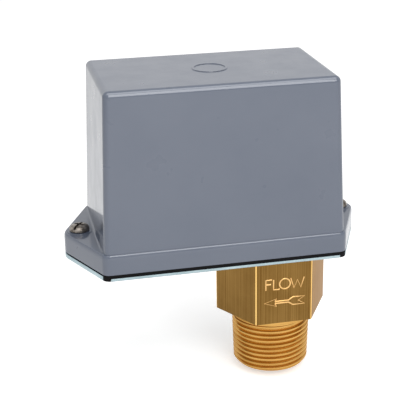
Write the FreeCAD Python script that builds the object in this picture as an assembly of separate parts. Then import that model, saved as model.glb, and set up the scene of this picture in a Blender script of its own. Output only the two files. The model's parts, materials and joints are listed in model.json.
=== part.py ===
import FreeCAD, Part
import math
import os

# Paddle flow switch: a 1 in tapered pipe stem carries a sealed lever into a dry housing,
# where the lever lifts a stamped arm against a range spring and trips a snap switch.
# Millimetres. The origin is the centre of the stem's lower end, Z runs up the stem,
# X runs along the housing and the liquid flows towards -X. Each sub-part is one STEP file.

V = FreeCAD.Vector
X_AXIS, Y_AXIS, Z_AXIS = V(1, 0, 0), V(0, 1, 0), V(0, 0, 1)

# ------------------------------------------------------------------ driving dimensions
# Clearances
running_gap = 0.05          # radial, a pin or screw that turns in its hole
seat_gap = 0.03             # radial, a pressed, soldered or threaded joint
touch_gap = 0.3             # between moving faces that meet at rest
screw_clearance = 0.4       # on the diameter, a hole that a screw passes through
screw_end_gap = 0.5         # between a screw's tip and the end of its hole
thread_past_nut = 1.0
overlap = 1.0               # how far shapes that are fused run into each other
near = 0.01                 # two levels closer than this are the same

# Screw heads
slot_depth_share = 0.45     # of the head's height
slot_width_share = 0.28     # of the shank's diameter
crown_share = 0.35          # of a pan head's height, bevelled at its rim

# Threaded stem and hexagon
thread_length = 26.1
thread_end_diameter = 32.3  # over the crests at the small end
pipe_diameter = 33.4        # where the taper runs out
pipe_taper = 1 / 16         # on the diameter
thread_chamfer = 1.2
hex_across_flats = 41.8
hex_height = 30.7
hex_edge_radius = 0.5
bore_diameter = 22.0
spigot_diameter = 30.0      # round top that stands through the base plate
spigot_height = 9.0         # above the plate
well_diameter = 25.0        # counterbore that holds the bellows seal
well_depth = 15.0

# Base plate, gasket and housing cover
plate_thickness = 1.3
rim_thickness = 1.1
rim_height = 1.15           # above the plate, round the ears only
rim_bend_radius = 0.6
corner_relief = 4.4         # diameter of the notch in the plate at each box corner
gasket_thickness = 1.5
gasket_width = 4.2
box_right = 23.3            # from the stem axis to the housing's right end, at the ledge
end_space = 4.7             # inside the cover's left end, past the switch
box_depth = 57.3
box_height = 64.7
end_draft = 2.24            # degrees
side_draft = 1.27
cover_wall = 2.5
roof_thickness = 2.8
cover_edge_radius = 2.4
inner_edge_radius = 1.5
flange_height = 8.2
ledge_width = 0.8
ledge_radius = 0.6
flange_corner_radius = 3.5
ear_reach = 13.2            # of the ear's sharp point beyond the box end
ear_tip_radius = 6.1
ear_wall = 2.2
ear_core_depth = 4.6
boss_radius = 5.0
boss_height = 0.3
mark_radius = 7.2
mark_width = 0.9
mark_height = 0.25
conduit_diameter = 22.2
conduit_from_stem = 48.0
conduit_from_middle = 8.0
least_radius = 0.4          # of a corner arc that is moved inwards

# Cover screws and their nuts
cover_screw_from_box = 6.3
cover_screw_diameter = 4.1
cover_head_diameter = 8.2
cover_head_height = 2.7
cover_hole_diameter = 5.2
cover_nut_flats = 6.0
cover_nut_height = 1.7
cover_nut_collar = 5.0      # diameter where the nut is clinched into the plate
cover_nut_collar_height = 0.7

# Body screws, which hold the plate on the hexagon
body_screw_diameter = 3.8
body_head_flats = 6.0
body_head_height = 2.4
body_screw_grip = 8.0       # hole depth in the hexagon

# Lever, pivot and bellows
lever_diameter = 6.4
lever_neck_diameter = 5.2
lever_drop = 3.0            # below the stem's end
paddle_hole_diameter = 3.5
paddle_hole_depth = 9.0
pivot_above_plate = 4.4
pin_diameter = 3.1
pin_set_back = 0.3          # of the pin's ends inside the spigot
hub_diameter = 9.0
hub_height = 7.0
hub_width = 8.4
shoulder_diameter = 6.0     # that the arm rests on
spacer_diameter = 6.0
bellows_outer = 16.0
bellows_inner = 11.0
bellows_wall = 0.3
bellows_folds = 4
fold_pitch = 3.3
collar_height = 2.0
ferrule_height = 7.0
sealing_ring_width = 1.6    # of its square section
spanner_slot = 2.4
spanner_slot_depth = 1.2
cap_thickness = 2.5
cap_diameter = 13.0

# Stamped arm on top of the lever
stud_diameter = 4.8
stud_flat = 3.8
arm_above_spigot = 2.0
arm_thickness = 1.5
arm_width = 10.0
arm_tail = 6.0
arm_lip = 3.0
lip_inset = 3.0             # of the lips from the nose and from the spigot
arm_corner_radius = 2.5
arm_nose = 3.8              # past the trip screw
arm_nut_height = 3.6
arm_nut_flats = 8.0
arm_washer_thickness = 0.8
arm_washer_diameter = 9.4
trip_screw_diameter = 3.4
trip_stand = 1.8            # of the trip screw above the arm
trip_screw_length = 9.0
trip_slot = 0.8
trip_slot_depth = 1.2
trip_nut_height = 2.2
trip_nut_flats = 6.4

# Snap switch
case_length = 49.2
case_height = 24.2
case_width = 17.5
lid_width = 5.0
case_radius = 1.6
leaf_length = 26.0
leaf_width = 10.0
leaf_thickness = 0.8
leaf_reach = 24.0           # from its hinge to the trip screw on the arm
leaf_slope = 8.0            # degrees, at rest
leaf_pin_diameter = 1.6
leaf_pin_inset = 3.7        # from the case's left end
lug_width = 1.6
lug_margin = 1.1            # of plastic round the leaf's pin
plunger_from_pin = 8.5
plunger_diameter = 3.2
plunger_depth = 4.2
switch_hole_spacing = 25.4
switch_hole_height = 9.5
switch_screw_diameter = 3.4
switch_head_diameter = 6.2
switch_head_height = 2.2
switch_nut_flats = 7.0
switch_nut_height = 2.4
terminal_spacing = 15.0
terminal_length = 9.0
terminal_width = 10.0
terminal_thickness = 0.9
barrier_height = 4.2
barrier_thickness = 1.6
terminal_screw_diameter = 3.4
terminal_screw_depth = 6.0
terminal_head_diameter = 6.4
terminal_head_height = 2.2

# Switch bracket
bracket_thickness = 1.5
bracket_bend = 1.5          # inner radius of its folds
sheet_thickness = 0.4
sheet_margin = 1.0          # of the case past the insulating sheet
foot_length = 38.0
foot_from_gasket = 0.6      # between the foot's rear edge and the gasket
bracket_margin = 3.0        # of the case's left end past the bracket
window_inset = 4.5
window_rise = 4.0
neck_above_arm = 3.0        # where the upright starts to narrow over the foot
neck_drop = 3.0             # of the sloping edge from there to the shelf
shoulder_rise = 2.0         # of the upright's top over the shelf's bend
bracket_screw_spacing = 26.0
bracket_screw_diameter = 3.8
bracket_screw_from_edge = 5.6
bracket_head_flats = 6.4
bracket_head_height = 2.4
screw_tip = 1.8             # of a screw below the base plate

# Range spring and its screw
spring_from_stem = 13.0
spring_length = 20.0
spring_diameter = 8.6       # outside
spring_wire = 0.9
spring_turns = 5            # open ones, between a closed turn at each end
spring_sides = 14           # straight lengths in a turn
closed_gap = 0.02           # between neighbouring closed turns
spring_pilot = 6.0          # diameter of the raised spots inside the spring's ends
pilot_height = 1.0
range_screw_diameter = 4.0
range_head_diameter = 7.2
range_head_height = 2.6
range_pitch = 0.794
range_turns = 5
nut_plate_thickness = 3.0
nut_plate_width = 8.6
nut_plate_nose = 5.4
nut_plate_radius = 1.2
seat_from_case = 1.2        # between the switch's right end and the spring's seat
guide_width = 2.4
guide_reach = 1.0           # past the bracket
collar_above_seat = 2.0
collar_play = 0.3           # under the bracket
range_collar_thickness = 0.8
range_collar_diameter = 6.6
range_flange_width = 10.0

# Earthing screw
earth_from_stem = 26.0
earth_from_middle = 15.5
earth_screw_diameter = 3.8
earth_head_flats = 8.0
earth_head_height = 2.8
earth_slot_width = 1.0
earth_slot_depth = 1.1
earth_washer_diameter = 9.0
earth_washer_thickness = 0.8

# ------------------------------------------------------------------ levels and places
hex_bottom = thread_length
hex_top = hex_bottom + hex_height
plate_bottom = hex_top
plate_top = plate_bottom + plate_thickness
cover_bottom = plate_top + gasket_thickness
ledge_level = cover_bottom + flange_height
cover_top = ledge_level + box_height
half_depth = box_depth / 2
flange_half = half_depth + ledge_width

spigot_top = plate_top + spigot_height
well_floor = spigot_top - well_depth
pivot_level = plate_top + pivot_above_plate
spigot_radius = spigot_diameter / 2
well_radius = well_diameter / 2
bellows_length = bellows_folds * fold_pitch
bellows_bottom = well_floor - bellows_length
cap_bottom = bellows_bottom - cap_thickness

arm_bottom = spigot_top + arm_above_spigot
arm_top = arm_bottom + arm_thickness
trip_tip = arm_top + trip_stand

case_right = -spring_from_stem - nut_plate_width / 2 - seat_from_case
case_left = case_right - case_length
box_left = end_space + cover_wall - case_left
slope = math.radians(leaf_slope)
leaf_middle = trip_tip + touch_gap + leaf_thickness / 2 / math.cos(slope)
hinge_x = case_left + leaf_pin_inset
trip_x = hinge_x + leaf_reach
leaf_pin_drop = leaf_pin_diameter / 2 + running_gap + leaf_thickness + touch_gap
hinge_level = leaf_middle + leaf_reach * math.tan(slope)
case_bottom = hinge_level + leaf_pin_drop
case_top = case_bottom + case_height
case_half = case_width / 2
plunger_x = hinge_x + plunger_from_pin
leaf_over_plunger = hinge_level - plunger_from_pin * math.tan(slope) + leaf_thickness / 2 / math.cos(slope)
plunger_tip = leaf_over_plunger + touch_gap
switch_holes_x = [(case_left + case_right + k * switch_hole_spacing) / 2 for k in (-1, 1)]
switch_holes_level = case_bottom + switch_hole_height
terminal_middle = lid_width / 2
terminals_x = [(case_left + case_right) / 2 + k * terminal_spacing for k in (-1, 0, 1)]

bracket_front = case_half + sheet_thickness
bracket_back = bracket_front + bracket_thickness
spring_top = arm_top + spring_length
nut_plate_top = spring_top + nut_plate_thickness
range_travel = range_turns * range_pitch
range_collar_bottom = nut_plate_top + collar_above_seat
bracket_top = range_collar_bottom + range_collar_thickness + collar_play
bracket_level = bracket_top + bracket_thickness
window_bottom = plate_top + bracket_thickness + bracket_bend + window_rise
window_top = case_bottom - window_rise / 2
foot_middle = (switch_holes_x[0] + switch_holes_x[1]) / 2
foot_screws_x = [foot_middle + k * bracket_screw_spacing / 2 for k in (-1, 1)]
foot_back = flange_half - gasket_width - foot_from_gasket
foot_screws_y = foot_back - bracket_screw_from_edge

earth_place = (-earth_from_stem, -earth_from_middle)
cover_screws_x = [-box_left - cover_screw_from_box, box_right + cover_screw_from_box]
body_screw_circle = spigot_radius + body_head_flats / math.sqrt(3) + touch_gap
body_screw_places = [
    (body_screw_circle * math.cos(math.radians(a)), body_screw_circle * math.sin(math.radians(a)))
    for a in (60, 120, 240, 300)
]

box_corner_places = [(x, y) for x in (-box_left, box_right) for y in (-flange_half, flange_half)]

# The flange, plate and gasket share this outline: (x, y, corner radius)
flange_corners = [
    (-box_left, -flange_half, flange_corner_radius),
    (box_right, -flange_half, flange_corner_radius),
    (box_right + ear_reach, 0, ear_tip_radius),
    (box_right, flange_half, flange_corner_radius),
    (-box_left, flange_half, flange_corner_radius),
    (-box_left - ear_reach, 0, ear_tip_radius),
]


# ------------------------------------------------------------------ shared shape makers
def save(name, shape):
    """Write one sub-part, a solid or a group of separate solids."""
    shape.exportStep("parts/%s.step" % name)
    print("%-18s solids %d  volume %.1f" % (name, len(shape.Solids), shape.Volume))


def rod(diameter, low, high, x=0, y=0):
    """Upright cylinder."""
    return Part.makeCylinder(diameter / 2, high - low, V(x, y, low))


def cross_rod(diameter, front, back, x, z):
    """Cylinder lying along Y."""
    return Part.makeCylinder(diameter / 2, back - front, V(x, front, z), Y_AXIS)


def block(x, y, z):
    """Box between pairs of limits."""
    return Part.makeBox(x[1] - x[0], y[1] - y[0], z[1] - z[0], V(x[0], y[0], z[0]))


def ring(outer, inner, low, high, x=0, y=0):
    """Upright tube or washer."""
    return rod(outer, low, high, x, y).cut(rod(inner, low, high, x, y))


def turned(points, x=0, y=0):
    """Solid turned about an upright axis from (radius, level) corners."""
    corners = [V(x + r, y, z) for r, z in points]
    face = Part.Face(Part.makePolygon(corners + corners[:1]))
    return face.revolve(V(x, y, 0), Z_AXIS, 360)


def rounded_wire(corners, z):
    """Closed outline at level z whose corners are turned with their own arcs."""
    turns = []
    for i, (x, y, radius) in enumerate(corners):
        here = V(x, y, z)
        before = V(corners[i - 1][0], corners[i - 1][1], z)
        after = V(corners[(i + 1) % len(corners)][0], corners[(i + 1) % len(corners)][1], z)
        back = (before - here).normalize()
        ahead = (after - here).normalize()
        half = back.getAngle(ahead) / 2
        inward = (back + ahead).normalize()
        middle = here + inward * (radius / math.sin(half) - radius)
        reach = radius / math.tan(half)
        turns.append((here + back * reach, middle, here + ahead * reach))
    edges = []
    for i, (start, middle, end) in enumerate(turns):
        edges.append(Part.Arc(start, middle, end).toShape())
        edges.append(Part.LineSegment(end, turns[(i + 1) % len(turns)][0]).toShape())
    return Part.Wire(edges)


def inset(corners, distance):
    """The same convex outline moved inwards, with concentric corner arcs."""
    moved = []
    for i, (x, y, radius) in enumerate(corners):
        here = V(x, y, 0)
        back = (V(corners[i - 1][0], corners[i - 1][1], 0) - here).normalize()
        after = corners[(i + 1) % len(corners)]
        ahead = (V(after[0], after[1], 0) - here).normalize()
        half = back.getAngle(ahead) / 2
        place = here + (back + ahead).normalize() * (distance / math.sin(half))
        moved.append((place.x, place.y, max(radius - distance, least_radius)))
    return moved


def prism(corners, low, high):
    """Upright solid over a rounded outline."""
    return Part.Face(rounded_wire(corners, low)).extrude(V(0, 0, high - low))


def rectangle(left, right, front, back, radius):
    return [(left, front, radius), (right, front, radius), (right, back, radius), (left, back, radius)]


def hexagon(flats, low, high, x=0, y=0):
    """Hexagonal prism with two corners on the X direction."""
    reach = flats / math.sqrt(3)
    corners = [V(x + reach * math.cos(math.radians(60 * k)), y + reach * math.sin(math.radians(60 * k)), low)
               for k in range(6)]
    return Part.Face(Part.makePolygon(corners + corners[:1])).extrude(V(0, 0, high - low))


def slotted_screw(shank, head, head_height, seat, tip, x=0, y=0):
    """Cheese-head screw, seated at one level and ending at a lower one, with a slot."""
    top = seat + head_height
    slot_depth = head_height * slot_depth_share
    slot_half = shank * slot_width_share / 2
    screw = rod(head, seat, top, x, y).fuse(rod(shank, tip, seat, x, y))
    return screw.cut(block((x - head / 2, x + head / 2), (y - slot_half, y + slot_half),
                           (top - slot_depth, top)))


def hex_screw(shank, flats, head_height, seat, tip, x=0, y=0):
    return hexagon(flats, seat, seat + head_height, x, y).fuse(rod(shank, tip, seat, x, y))


def edges_where(shape, test):
    return [edge for edge in shape.Edges if test(edge)]


def is_upright(edge):
    """A straight edge that runs mostly along Z."""
    if len(edge.Vertexes) < 2:
        return False
    run = edge.Vertexes[1].Point - edge.Vertexes[0].Point
    return abs(run.z) > 0.9 * run.Length


# ------------------------------------------------------------------ housing cover
def box_corners(level, thickness, radius):
    """Outline of the drafted box at a level, moved in by a wall thickness."""
    rise = level - ledge_level
    by_end = rise * math.tan(math.radians(end_draft)) + thickness
    by_side = rise * math.tan(math.radians(side_draft)) + thickness
    return rectangle(-box_left + by_end, box_right - by_end, -half_depth + by_side, half_depth - by_side,
                     radius)


def make_box_shell():
    """Drafted box with its roof edges and uprights rounded together."""
    by_end = box_height * math.tan(math.radians(end_draft))
    by_side = box_height * math.tan(math.radians(side_draft))
    box = Part.makeWedge(-box_left, 0, -half_depth, -half_depth + by_side, -box_left + by_end,
                         box_right, box_height, half_depth, half_depth - by_side, box_right - by_end)
    box.rotate(V(0, 0, 0), X_AXIS, 90)
    box.translate(V(0, 0, ledge_level))
    return box.makeFillet(cover_edge_radius, edges_where(box, lambda e: e.BoundBox.ZMax > cover_top - near))


def make_flange():
    """Thick flange with a pointed ear at each end, its upper edge rounded all round."""
    flange = prism(flange_corners, cover_bottom, ledge_level)
    return flange.makeFillet(ledge_radius,
                             edges_where(flange, lambda e: e.BoundBox.ZMin > ledge_level - near))


def make_ear_core(end, side, screw_x):
    """Hollow cored into an ear from below, round its screw boss."""
    pocket = prism(inset(flange_corners, ear_wall), cover_bottom, cover_bottom + ear_core_depth)
    inner = end + side * ear_wall
    outer = end + side * ear_reach
    keep = block((min(inner, outer), max(inner, outer)), (-half_depth, half_depth),
                 (cover_bottom, ledge_level))
    return pocket.common(keep).cut(rod(2 * boss_radius, cover_bottom, ledge_level, screw_x))


def make_cover():
    cover = make_box_shell().fuse(make_flange())
    cavity_top = cover_top - roof_thickness
    cavity = Part.makeLoft([rounded_wire(box_corners(cover_bottom, cover_wall, inner_edge_radius),
                                         cover_bottom),
                            rounded_wire(box_corners(cavity_top, cover_wall, inner_edge_radius), cavity_top)],
                           True, True)
    cover = cover.cut(cavity)
    for side, end, x in ((-1, -box_left, cover_screws_x[0]), (1, box_right, cover_screws_x[1])):
        cover = cover.cut(make_ear_core(end, side, x))
        cover = cover.fuse(rod(2 * boss_radius, ledge_level - ledge_radius, ledge_level + boss_height, x))
        cover = cover.cut(rod(cover_hole_diameter, cover_bottom, ledge_level + boss_height, x))
    middle = (box_right - box_left) / 2
    mark = ring(2 * mark_radius, 2 * (mark_radius - mark_width), cover_top - overlap, cover_top + mark_height,
                middle)
    return cover.fuse(mark).removeSplitter()


def make_cover_screws():
    """Pan-head screws with a slot, one through each ear."""
    tip = plate_bottom - cover_nut_height
    seat = ledge_level + boss_height
    top = seat + cover_head_height
    crown = cover_head_height * crown_share
    head, shank = cover_head_diameter / 2, cover_screw_diameter / 2
    slot_half = shank * slot_width_share
    slot_bottom = top - cover_head_height * slot_depth_share
    screws = []
    for x in cover_screws_x:
        screw = turned([(0, tip), (shank, tip), (shank, seat), (head, seat), (head, top - crown),
                        (head - crown, top), (0, top)], x)
        screws.append(screw.cut(block((x - head, x + head), (-slot_half, slot_half), (slot_bottom, top))))
    return Part.makeCompound(screws)


def make_cover_nuts():
    """Hexagon nuts clinched into the plate from below."""
    bore = cover_screw_diameter + 2 * running_gap
    low = plate_bottom - cover_nut_height
    nuts = []
    for x in cover_screws_x:
        nut = hexagon(cover_nut_flats, low, plate_bottom, x)
        nut = nut.fuse(rod(cover_nut_collar, plate_bottom, plate_bottom + cover_nut_collar_height, x))
        nuts.append(nut.cut(rod(bore, low, plate_top, x)))
    return Part.makeCompound(nuts)


# ------------------------------------------------------------------ gasket and base plate
def box_slice(low, high):
    """Everything between the box's two ends."""
    return block((-box_left, box_right), (-flange_half, flange_half), (low, high))


def make_gasket():
    """Sheet inside the ears' rims and out to the plate's edge between them, with a peg in each notch."""
    margin = touch_gap / 2
    inner = inset(flange_corners, rim_thickness + margin)
    outer = inset(flange_corners, margin)
    peg = corner_relief / 2 - margin
    gasket = prism(inner, plate_top, cover_bottom)
    gasket = gasket.fuse(prism(outer, plate_top, cover_bottom).common(box_slice(plate_top, cover_bottom)))
    low = plate_bottom + margin
    for x, y in box_corner_places:
        gasket = gasket.fuse(prism(outer, low, cover_bottom).common(rod(2 * peg, low, cover_bottom, x, y)))
    window = rectangle(-box_left + gasket_width, box_right - gasket_width,
                       -flange_half + gasket_width, flange_half - gasket_width, inner_edge_radius)
    gasket = gasket.cut(prism(window, plate_top, cover_bottom))
    for x in cover_screws_x:
        gasket = gasket.cut(rod(cover_hole_diameter, plate_top, cover_bottom, x))
    return gasket.removeSplitter()


def make_base_plate():
    """Pressed plate with an upturned rim round each ear, notched where the rims end."""
    rim_top = plate_top + rim_height
    pan = prism(flange_corners, plate_bottom, rim_top)
    pan = pan.makeFillet(rim_bend_radius, edges_where(pan, lambda e: e.BoundBox.ZMax < plate_bottom + near))
    pan = pan.cut(prism(inset(flange_corners, rim_thickness), plate_top, rim_top))
    pan = pan.cut(box_slice(plate_top, rim_top))
    for x, y in box_corner_places:
        pan = pan.cut(rod(corner_relief, plate_bottom, rim_top, x, y))
    holes = [(spigot_diameter + 4 * seat_gap, 0, 0),
             (conduit_diameter, -conduit_from_stem, -conduit_from_middle)]
    holes += [(earth_screw_diameter + 2 * seat_gap, *earth_place)]
    holes += [(bracket_screw_diameter + 2 * seat_gap, x, foot_screws_y) for x in foot_screws_x]
    holes += [(body_screw_diameter + screw_clearance, x, y) for x, y in body_screw_places]
    holes += [(cover_nut_collar + 2 * seat_gap, x, 0) for x in cover_screws_x]
    for diameter, x, y in holes:
        pan = pan.cut(rod(diameter, plate_bottom, plate_top, x, y))
    return pan


# ------------------------------------------------------------------ brass body and bellows seal
def make_brass_body():
    """Tapered pipe stem, hexagon and spigot in one bar, bored and counterbored."""
    taper_length = (pipe_diameter - thread_end_diameter) / pipe_taper
    end_radius = thread_end_diameter / 2
    stem = turned([
        (0, 0), (end_radius - thread_chamfer, 0),
        (end_radius + thread_chamfer * pipe_taper / 2, thread_chamfer), (pipe_diameter / 2, taper_length),
        (pipe_diameter / 2, hex_bottom + overlap), (0, hex_bottom + overlap)])
    bar = hexagon(hex_across_flats, hex_bottom, hex_top)
    bar = bar.makeFillet(hex_edge_radius, edges_where(bar, is_upright))
    body = stem.fuse(bar).fuse(rod(spigot_diameter, hex_top - overlap, spigot_top))
    body = body.cut(rod(bore_diameter, 0, spigot_top)).cut(rod(well_diameter, well_floor, spigot_top))
    pin_hole = cross_rod(pin_diameter + 2 * seat_gap, -spigot_radius, spigot_radius, 0, pivot_level)
    body = body.cut(pin_hole)
    for x, y in body_screw_places:
        body = body.cut(rod(body_screw_diameter + 2 * seat_gap, hex_top - body_screw_grip, hex_top, x, y))
    return body.removeSplitter()


def make_body_screws():
    tip = hex_top - body_screw_grip + screw_end_gap
    return Part.makeCompound([
        hex_screw(body_screw_diameter, body_head_flats, body_head_height, plate_top, tip, x, y)
        for x, y in body_screw_places])


def make_ferrule():
    """Threaded ring that carries the bellows' collar, with two spanner slots in its top."""
    bore = bellows_inner / 2 + seat_gap
    edge = well_radius - seat_gap
    rebate = edge - sealing_ring_width - seat_gap
    shoulder = well_floor + sealing_ring_width
    top = well_floor + ferrule_height
    ferrule = turned([(bore, well_floor), (rebate, well_floor), (rebate, shoulder), (edge, shoulder),
                      (edge, top), (bore, top)])
    slot = block((-edge, edge), (-spanner_slot / 2, spanner_slot / 2), (top - spanner_slot_depth, top))
    return ferrule.cut(slot)


def make_sealing_ring():
    """Square-section ring squeezed between the ferrule's shoulder and the well floor."""
    outer = well_diameter - 2 * seat_gap
    return ring(outer, outer - 2 * sealing_ring_width, well_floor, well_floor + sealing_ring_width)


def make_bellows():
    """Tube between the ferrule's collar and the lever's cap, folded outwards in rings."""
    inner, outer = bellows_inner / 2, bellows_outer / 2
    bore = inner - bellows_wall
    top = well_floor + collar_height
    bottom = bellows_bottom - cap_thickness / 2
    outside = [(inner, top), (inner, well_floor)]
    for k in range(bellows_folds):
        level = well_floor - k * fold_pitch
        outside += [(outer, level - fold_pitch / 2), (inner, level - fold_pitch)]
    return turned([(bore, top)] + outside + [(inner, bottom), (bore, bottom)])


def make_end_cap():
    """Cup soldered to the lever, which closes the bellows' lower end."""
    collar = bellows_inner / 2 - bellows_wall - seat_gap
    hole = lever_neck_diameter / 2 + seat_gap
    step = bellows_bottom - cap_thickness / 2 - seat_gap
    return turned([
        (hole, cap_bottom), (cap_diameter / 2, cap_bottom), (cap_diameter / 2, step),
        (collar, step), (collar, bellows_bottom), (hole, bellows_bottom)])


# ------------------------------------------------------------------ lever and pivot
def make_lever():
    """Turned rod with a shoulder for the cap, a cross-bored hub and a flatted stud."""
    hub_low = pivot_level - hub_height / 2
    hub_high = pivot_level + hub_height / 2
    stud_top = arm_top + arm_washer_thickness + arm_nut_height + thread_past_nut
    neck = lever_neck_diameter / 2
    lever = turned([
        (0, -lever_drop), (lever_diameter / 2, -lever_drop),
        (lever_diameter / 2, cap_bottom), (neck, cap_bottom), (neck, hub_low), (hub_diameter / 2, hub_low),
        (hub_diameter / 2, hub_high), (shoulder_diameter / 2, hub_high), (shoulder_diameter / 2, arm_bottom),
        (stud_diameter / 2, arm_bottom), (stud_diameter / 2, stud_top), (0, stud_top)])
    for width, low, high in ((hub_width, hub_low, hub_high), (stud_flat, arm_bottom, stud_top)):
        zone = block((-hub_diameter, hub_diameter), (-hub_diameter, hub_diameter), (low, high))
        between = block((-hub_diameter, hub_diameter), (-width / 2, width / 2), (low, high))
        lever = lever.cut(zone.cut(between))
    lever = lever.cut(cross_rod(pin_diameter + 2 * running_gap, -hub_diameter, hub_diameter, 0, pivot_level))
    return lever.cut(rod(paddle_hole_diameter, -lever_drop, -lever_drop + paddle_hole_depth))


def make_pivot_pin():
    """Pin pressed through both walls of the spigot."""
    end = spigot_radius - pin_set_back
    return cross_rod(pin_diameter, -end, end, 0, pivot_level)


def make_pivot_spacers():
    """Tubes on the pin that keep the lever central."""
    inner = hub_width / 2 + touch_gap / 2
    outer = math.sqrt(well_radius ** 2 - (spacer_diameter / 2) ** 2) - seat_gap
    spacers = []
    for low, high in ((-outer, -inner), (inner, outer)):
        tube = cross_rod(spacer_diameter, low, high, 0, pivot_level)
        spacers.append(tube.cut(cross_rod(pin_diameter + 2 * seat_gap, low, high, 0, pivot_level)))
    return Part.makeCompound(spacers)


# ------------------------------------------------------------------ stamped arm and trip screw
def make_arm():
    """Stamped arm: a flat strap clamped on the stud, stiffened by two lips folded down."""
    nose = trip_x - arm_nose
    strap = prism(rectangle(nose, arm_tail, -arm_width / 2, arm_width / 2, arm_corner_radius),
                  arm_bottom, arm_top)
    lip_start = nose + lip_inset
    lip_end = -spigot_radius - lip_inset
    for side in (-1, 1):
        outer = side * arm_width / 2
        inner = outer - side * arm_thickness
        lip = block((lip_start, lip_end), (min(outer, inner), max(outer, inner)),
                    (arm_bottom - arm_lip, arm_top))
        strap = strap.fuse(lip)
    strap = strap.removeSplitter()
    hole = rod(stud_diameter + 2 * running_gap, arm_bottom, arm_top)
    flats = block((-stud_diameter, stud_diameter),
                  (-stud_flat / 2 - running_gap, stud_flat / 2 + running_gap),
                  (arm_bottom, arm_top))
    strap = strap.cut(hole.common(flats))
    strap = strap.cut(rod(trip_screw_diameter + 2 * seat_gap, arm_bottom, arm_top, trip_x))
    return strap.fuse(rod(spring_pilot, arm_top, arm_top + pilot_height, -spring_from_stem)).removeSplitter()


def make_arm_washer():
    return ring(arm_washer_diameter, stud_diameter + 2 * running_gap, arm_top, arm_top + arm_washer_thickness)


def make_arm_nut():
    low = arm_top + arm_washer_thickness
    nut = hexagon(arm_nut_flats, low, low + arm_nut_height)
    return nut.cut(rod(stud_diameter + 2 * seat_gap, low, low + arm_nut_height))


def make_trip_screw():
    """Set screw whose tip lifts the leaf, slotted at its lower end."""
    half = trip_screw_diameter / 2
    low = trip_tip - trip_screw_length
    slot = block((trip_x - half, trip_x + half), (-trip_slot / 2, trip_slot / 2),
                 (low, low + trip_slot_depth))
    return rod(trip_screw_diameter, low, trip_tip, trip_x).cut(slot)


def make_trip_nut():
    low = arm_bottom - trip_nut_height
    nut = hexagon(trip_nut_flats, low, arm_bottom, trip_x)
    return nut.cut(rod(trip_screw_diameter + 2 * seat_gap, low, arm_bottom, trip_x))


# ------------------------------------------------------------------ snap switch
def make_case_block(front, back):
    """A slice of the switch's moulded case between two Y limits."""
    wire = rounded_wire(rectangle(case_left, case_right, -case_top, -case_bottom, case_radius), 0)
    face = Part.Face(wire)
    face.rotate(V(0, 0, 0), X_AXIS, -90)
    slab = face.extrude(V(0, back - front, 0))
    slab.translate(V(0, front, 0))
    for x in switch_holes_x:
        slab = slab.cut(cross_rod(switch_screw_diameter + screw_clearance, front, back, x,
                                  switch_holes_level))
    return slab


def make_switch_case():
    """Moulded case with terminal barriers on top and two lugs for the leaf's pin below."""
    case = make_case_block(-case_half + lid_width, case_half)
    between = [(terminals_x[k] + terminals_x[k + 1]) / 2 for k in (0, 1)]
    outside = [terminals_x[0] - terminal_spacing / 2, terminals_x[2] + terminal_spacing / 2]
    for x in between + outside:
        case = case.fuse(block((x - barrier_thickness / 2, x + barrier_thickness / 2),
                               (-case_half + lid_width, case_half),
                               (case_top - overlap, case_top + barrier_height)))
    for x in terminals_x:
        case = case.cut(rod(terminal_screw_diameter + 2 * seat_gap, case_top - terminal_screw_depth, case_top,
                            x, terminal_middle))
    case = case.fuse(make_lug(leaf_width / 2 + touch_gap))
    case = case.cut(rod(plunger_diameter + 2 * running_gap, case_bottom, case_bottom + plunger_depth,
                        plunger_x))
    return case.removeSplitter()


def make_lug(front):
    """Rounded tab below the case that holds one end of the leaf's pin."""
    half = leaf_pin_diameter / 2 + lug_margin
    tab = block((hinge_x - half, hinge_x + half), (front, front + lug_width),
                (hinge_level, case_bottom + overlap))
    tab = tab.fuse(cross_rod(2 * half, front, front + lug_width, hinge_x, hinge_level))
    return tab.cut(cross_rod(leaf_pin_diameter + 2 * seat_gap, front, front + lug_width, hinge_x,
                             hinge_level))


def make_switch_lid():
    lid = make_case_block(-case_half, -case_half + lid_width)
    return lid.fuse(make_lug(-leaf_width / 2 - touch_gap - lug_width)).removeSplitter()


def make_plunger():
    return rod(plunger_diameter, plunger_tip, plunger_tip + plunger_depth, plunger_x)


def make_leaf():
    """Sprung strip with a rolled eye round its pin, sloping away from the case."""
    eye = leaf_pin_diameter / 2 + running_gap
    half = leaf_width / 2
    strip = block((hinge_x, hinge_x + leaf_length), (-half, half),
                  (hinge_level - leaf_thickness / 2, hinge_level + leaf_thickness / 2))
    strip = strip.fuse(cross_rod(2 * (eye + leaf_thickness), -half, half, hinge_x, hinge_level))
    strip = strip.cut(cross_rod(2 * eye, -half, half, hinge_x, hinge_level))
    strip.rotate(V(hinge_x, 0, hinge_level), Y_AXIS, leaf_slope)
    return strip


def make_leaf_pin():
    end = leaf_width / 2 + touch_gap + lug_width
    return cross_rod(leaf_pin_diameter, -end, end, hinge_x, hinge_level)


def make_terminal(x):
    plate = block((x - terminal_length / 2, x + terminal_length / 2),
                  (terminal_middle - terminal_width / 2, terminal_middle + terminal_width / 2),
                  (case_top, case_top + terminal_thickness))
    return plate.cut(rod(terminal_screw_diameter + 2 * seat_gap, case_top, case_top + terminal_thickness,
                         x, terminal_middle))


def make_terminal_screws():
    seat = case_top + terminal_thickness
    tip = case_top - terminal_screw_depth + screw_end_gap
    return Part.makeCompound([
        slotted_screw(terminal_screw_diameter, terminal_head_diameter, terminal_head_height, seat, tip,
                      x, terminal_middle)
        for x in terminals_x])


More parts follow.
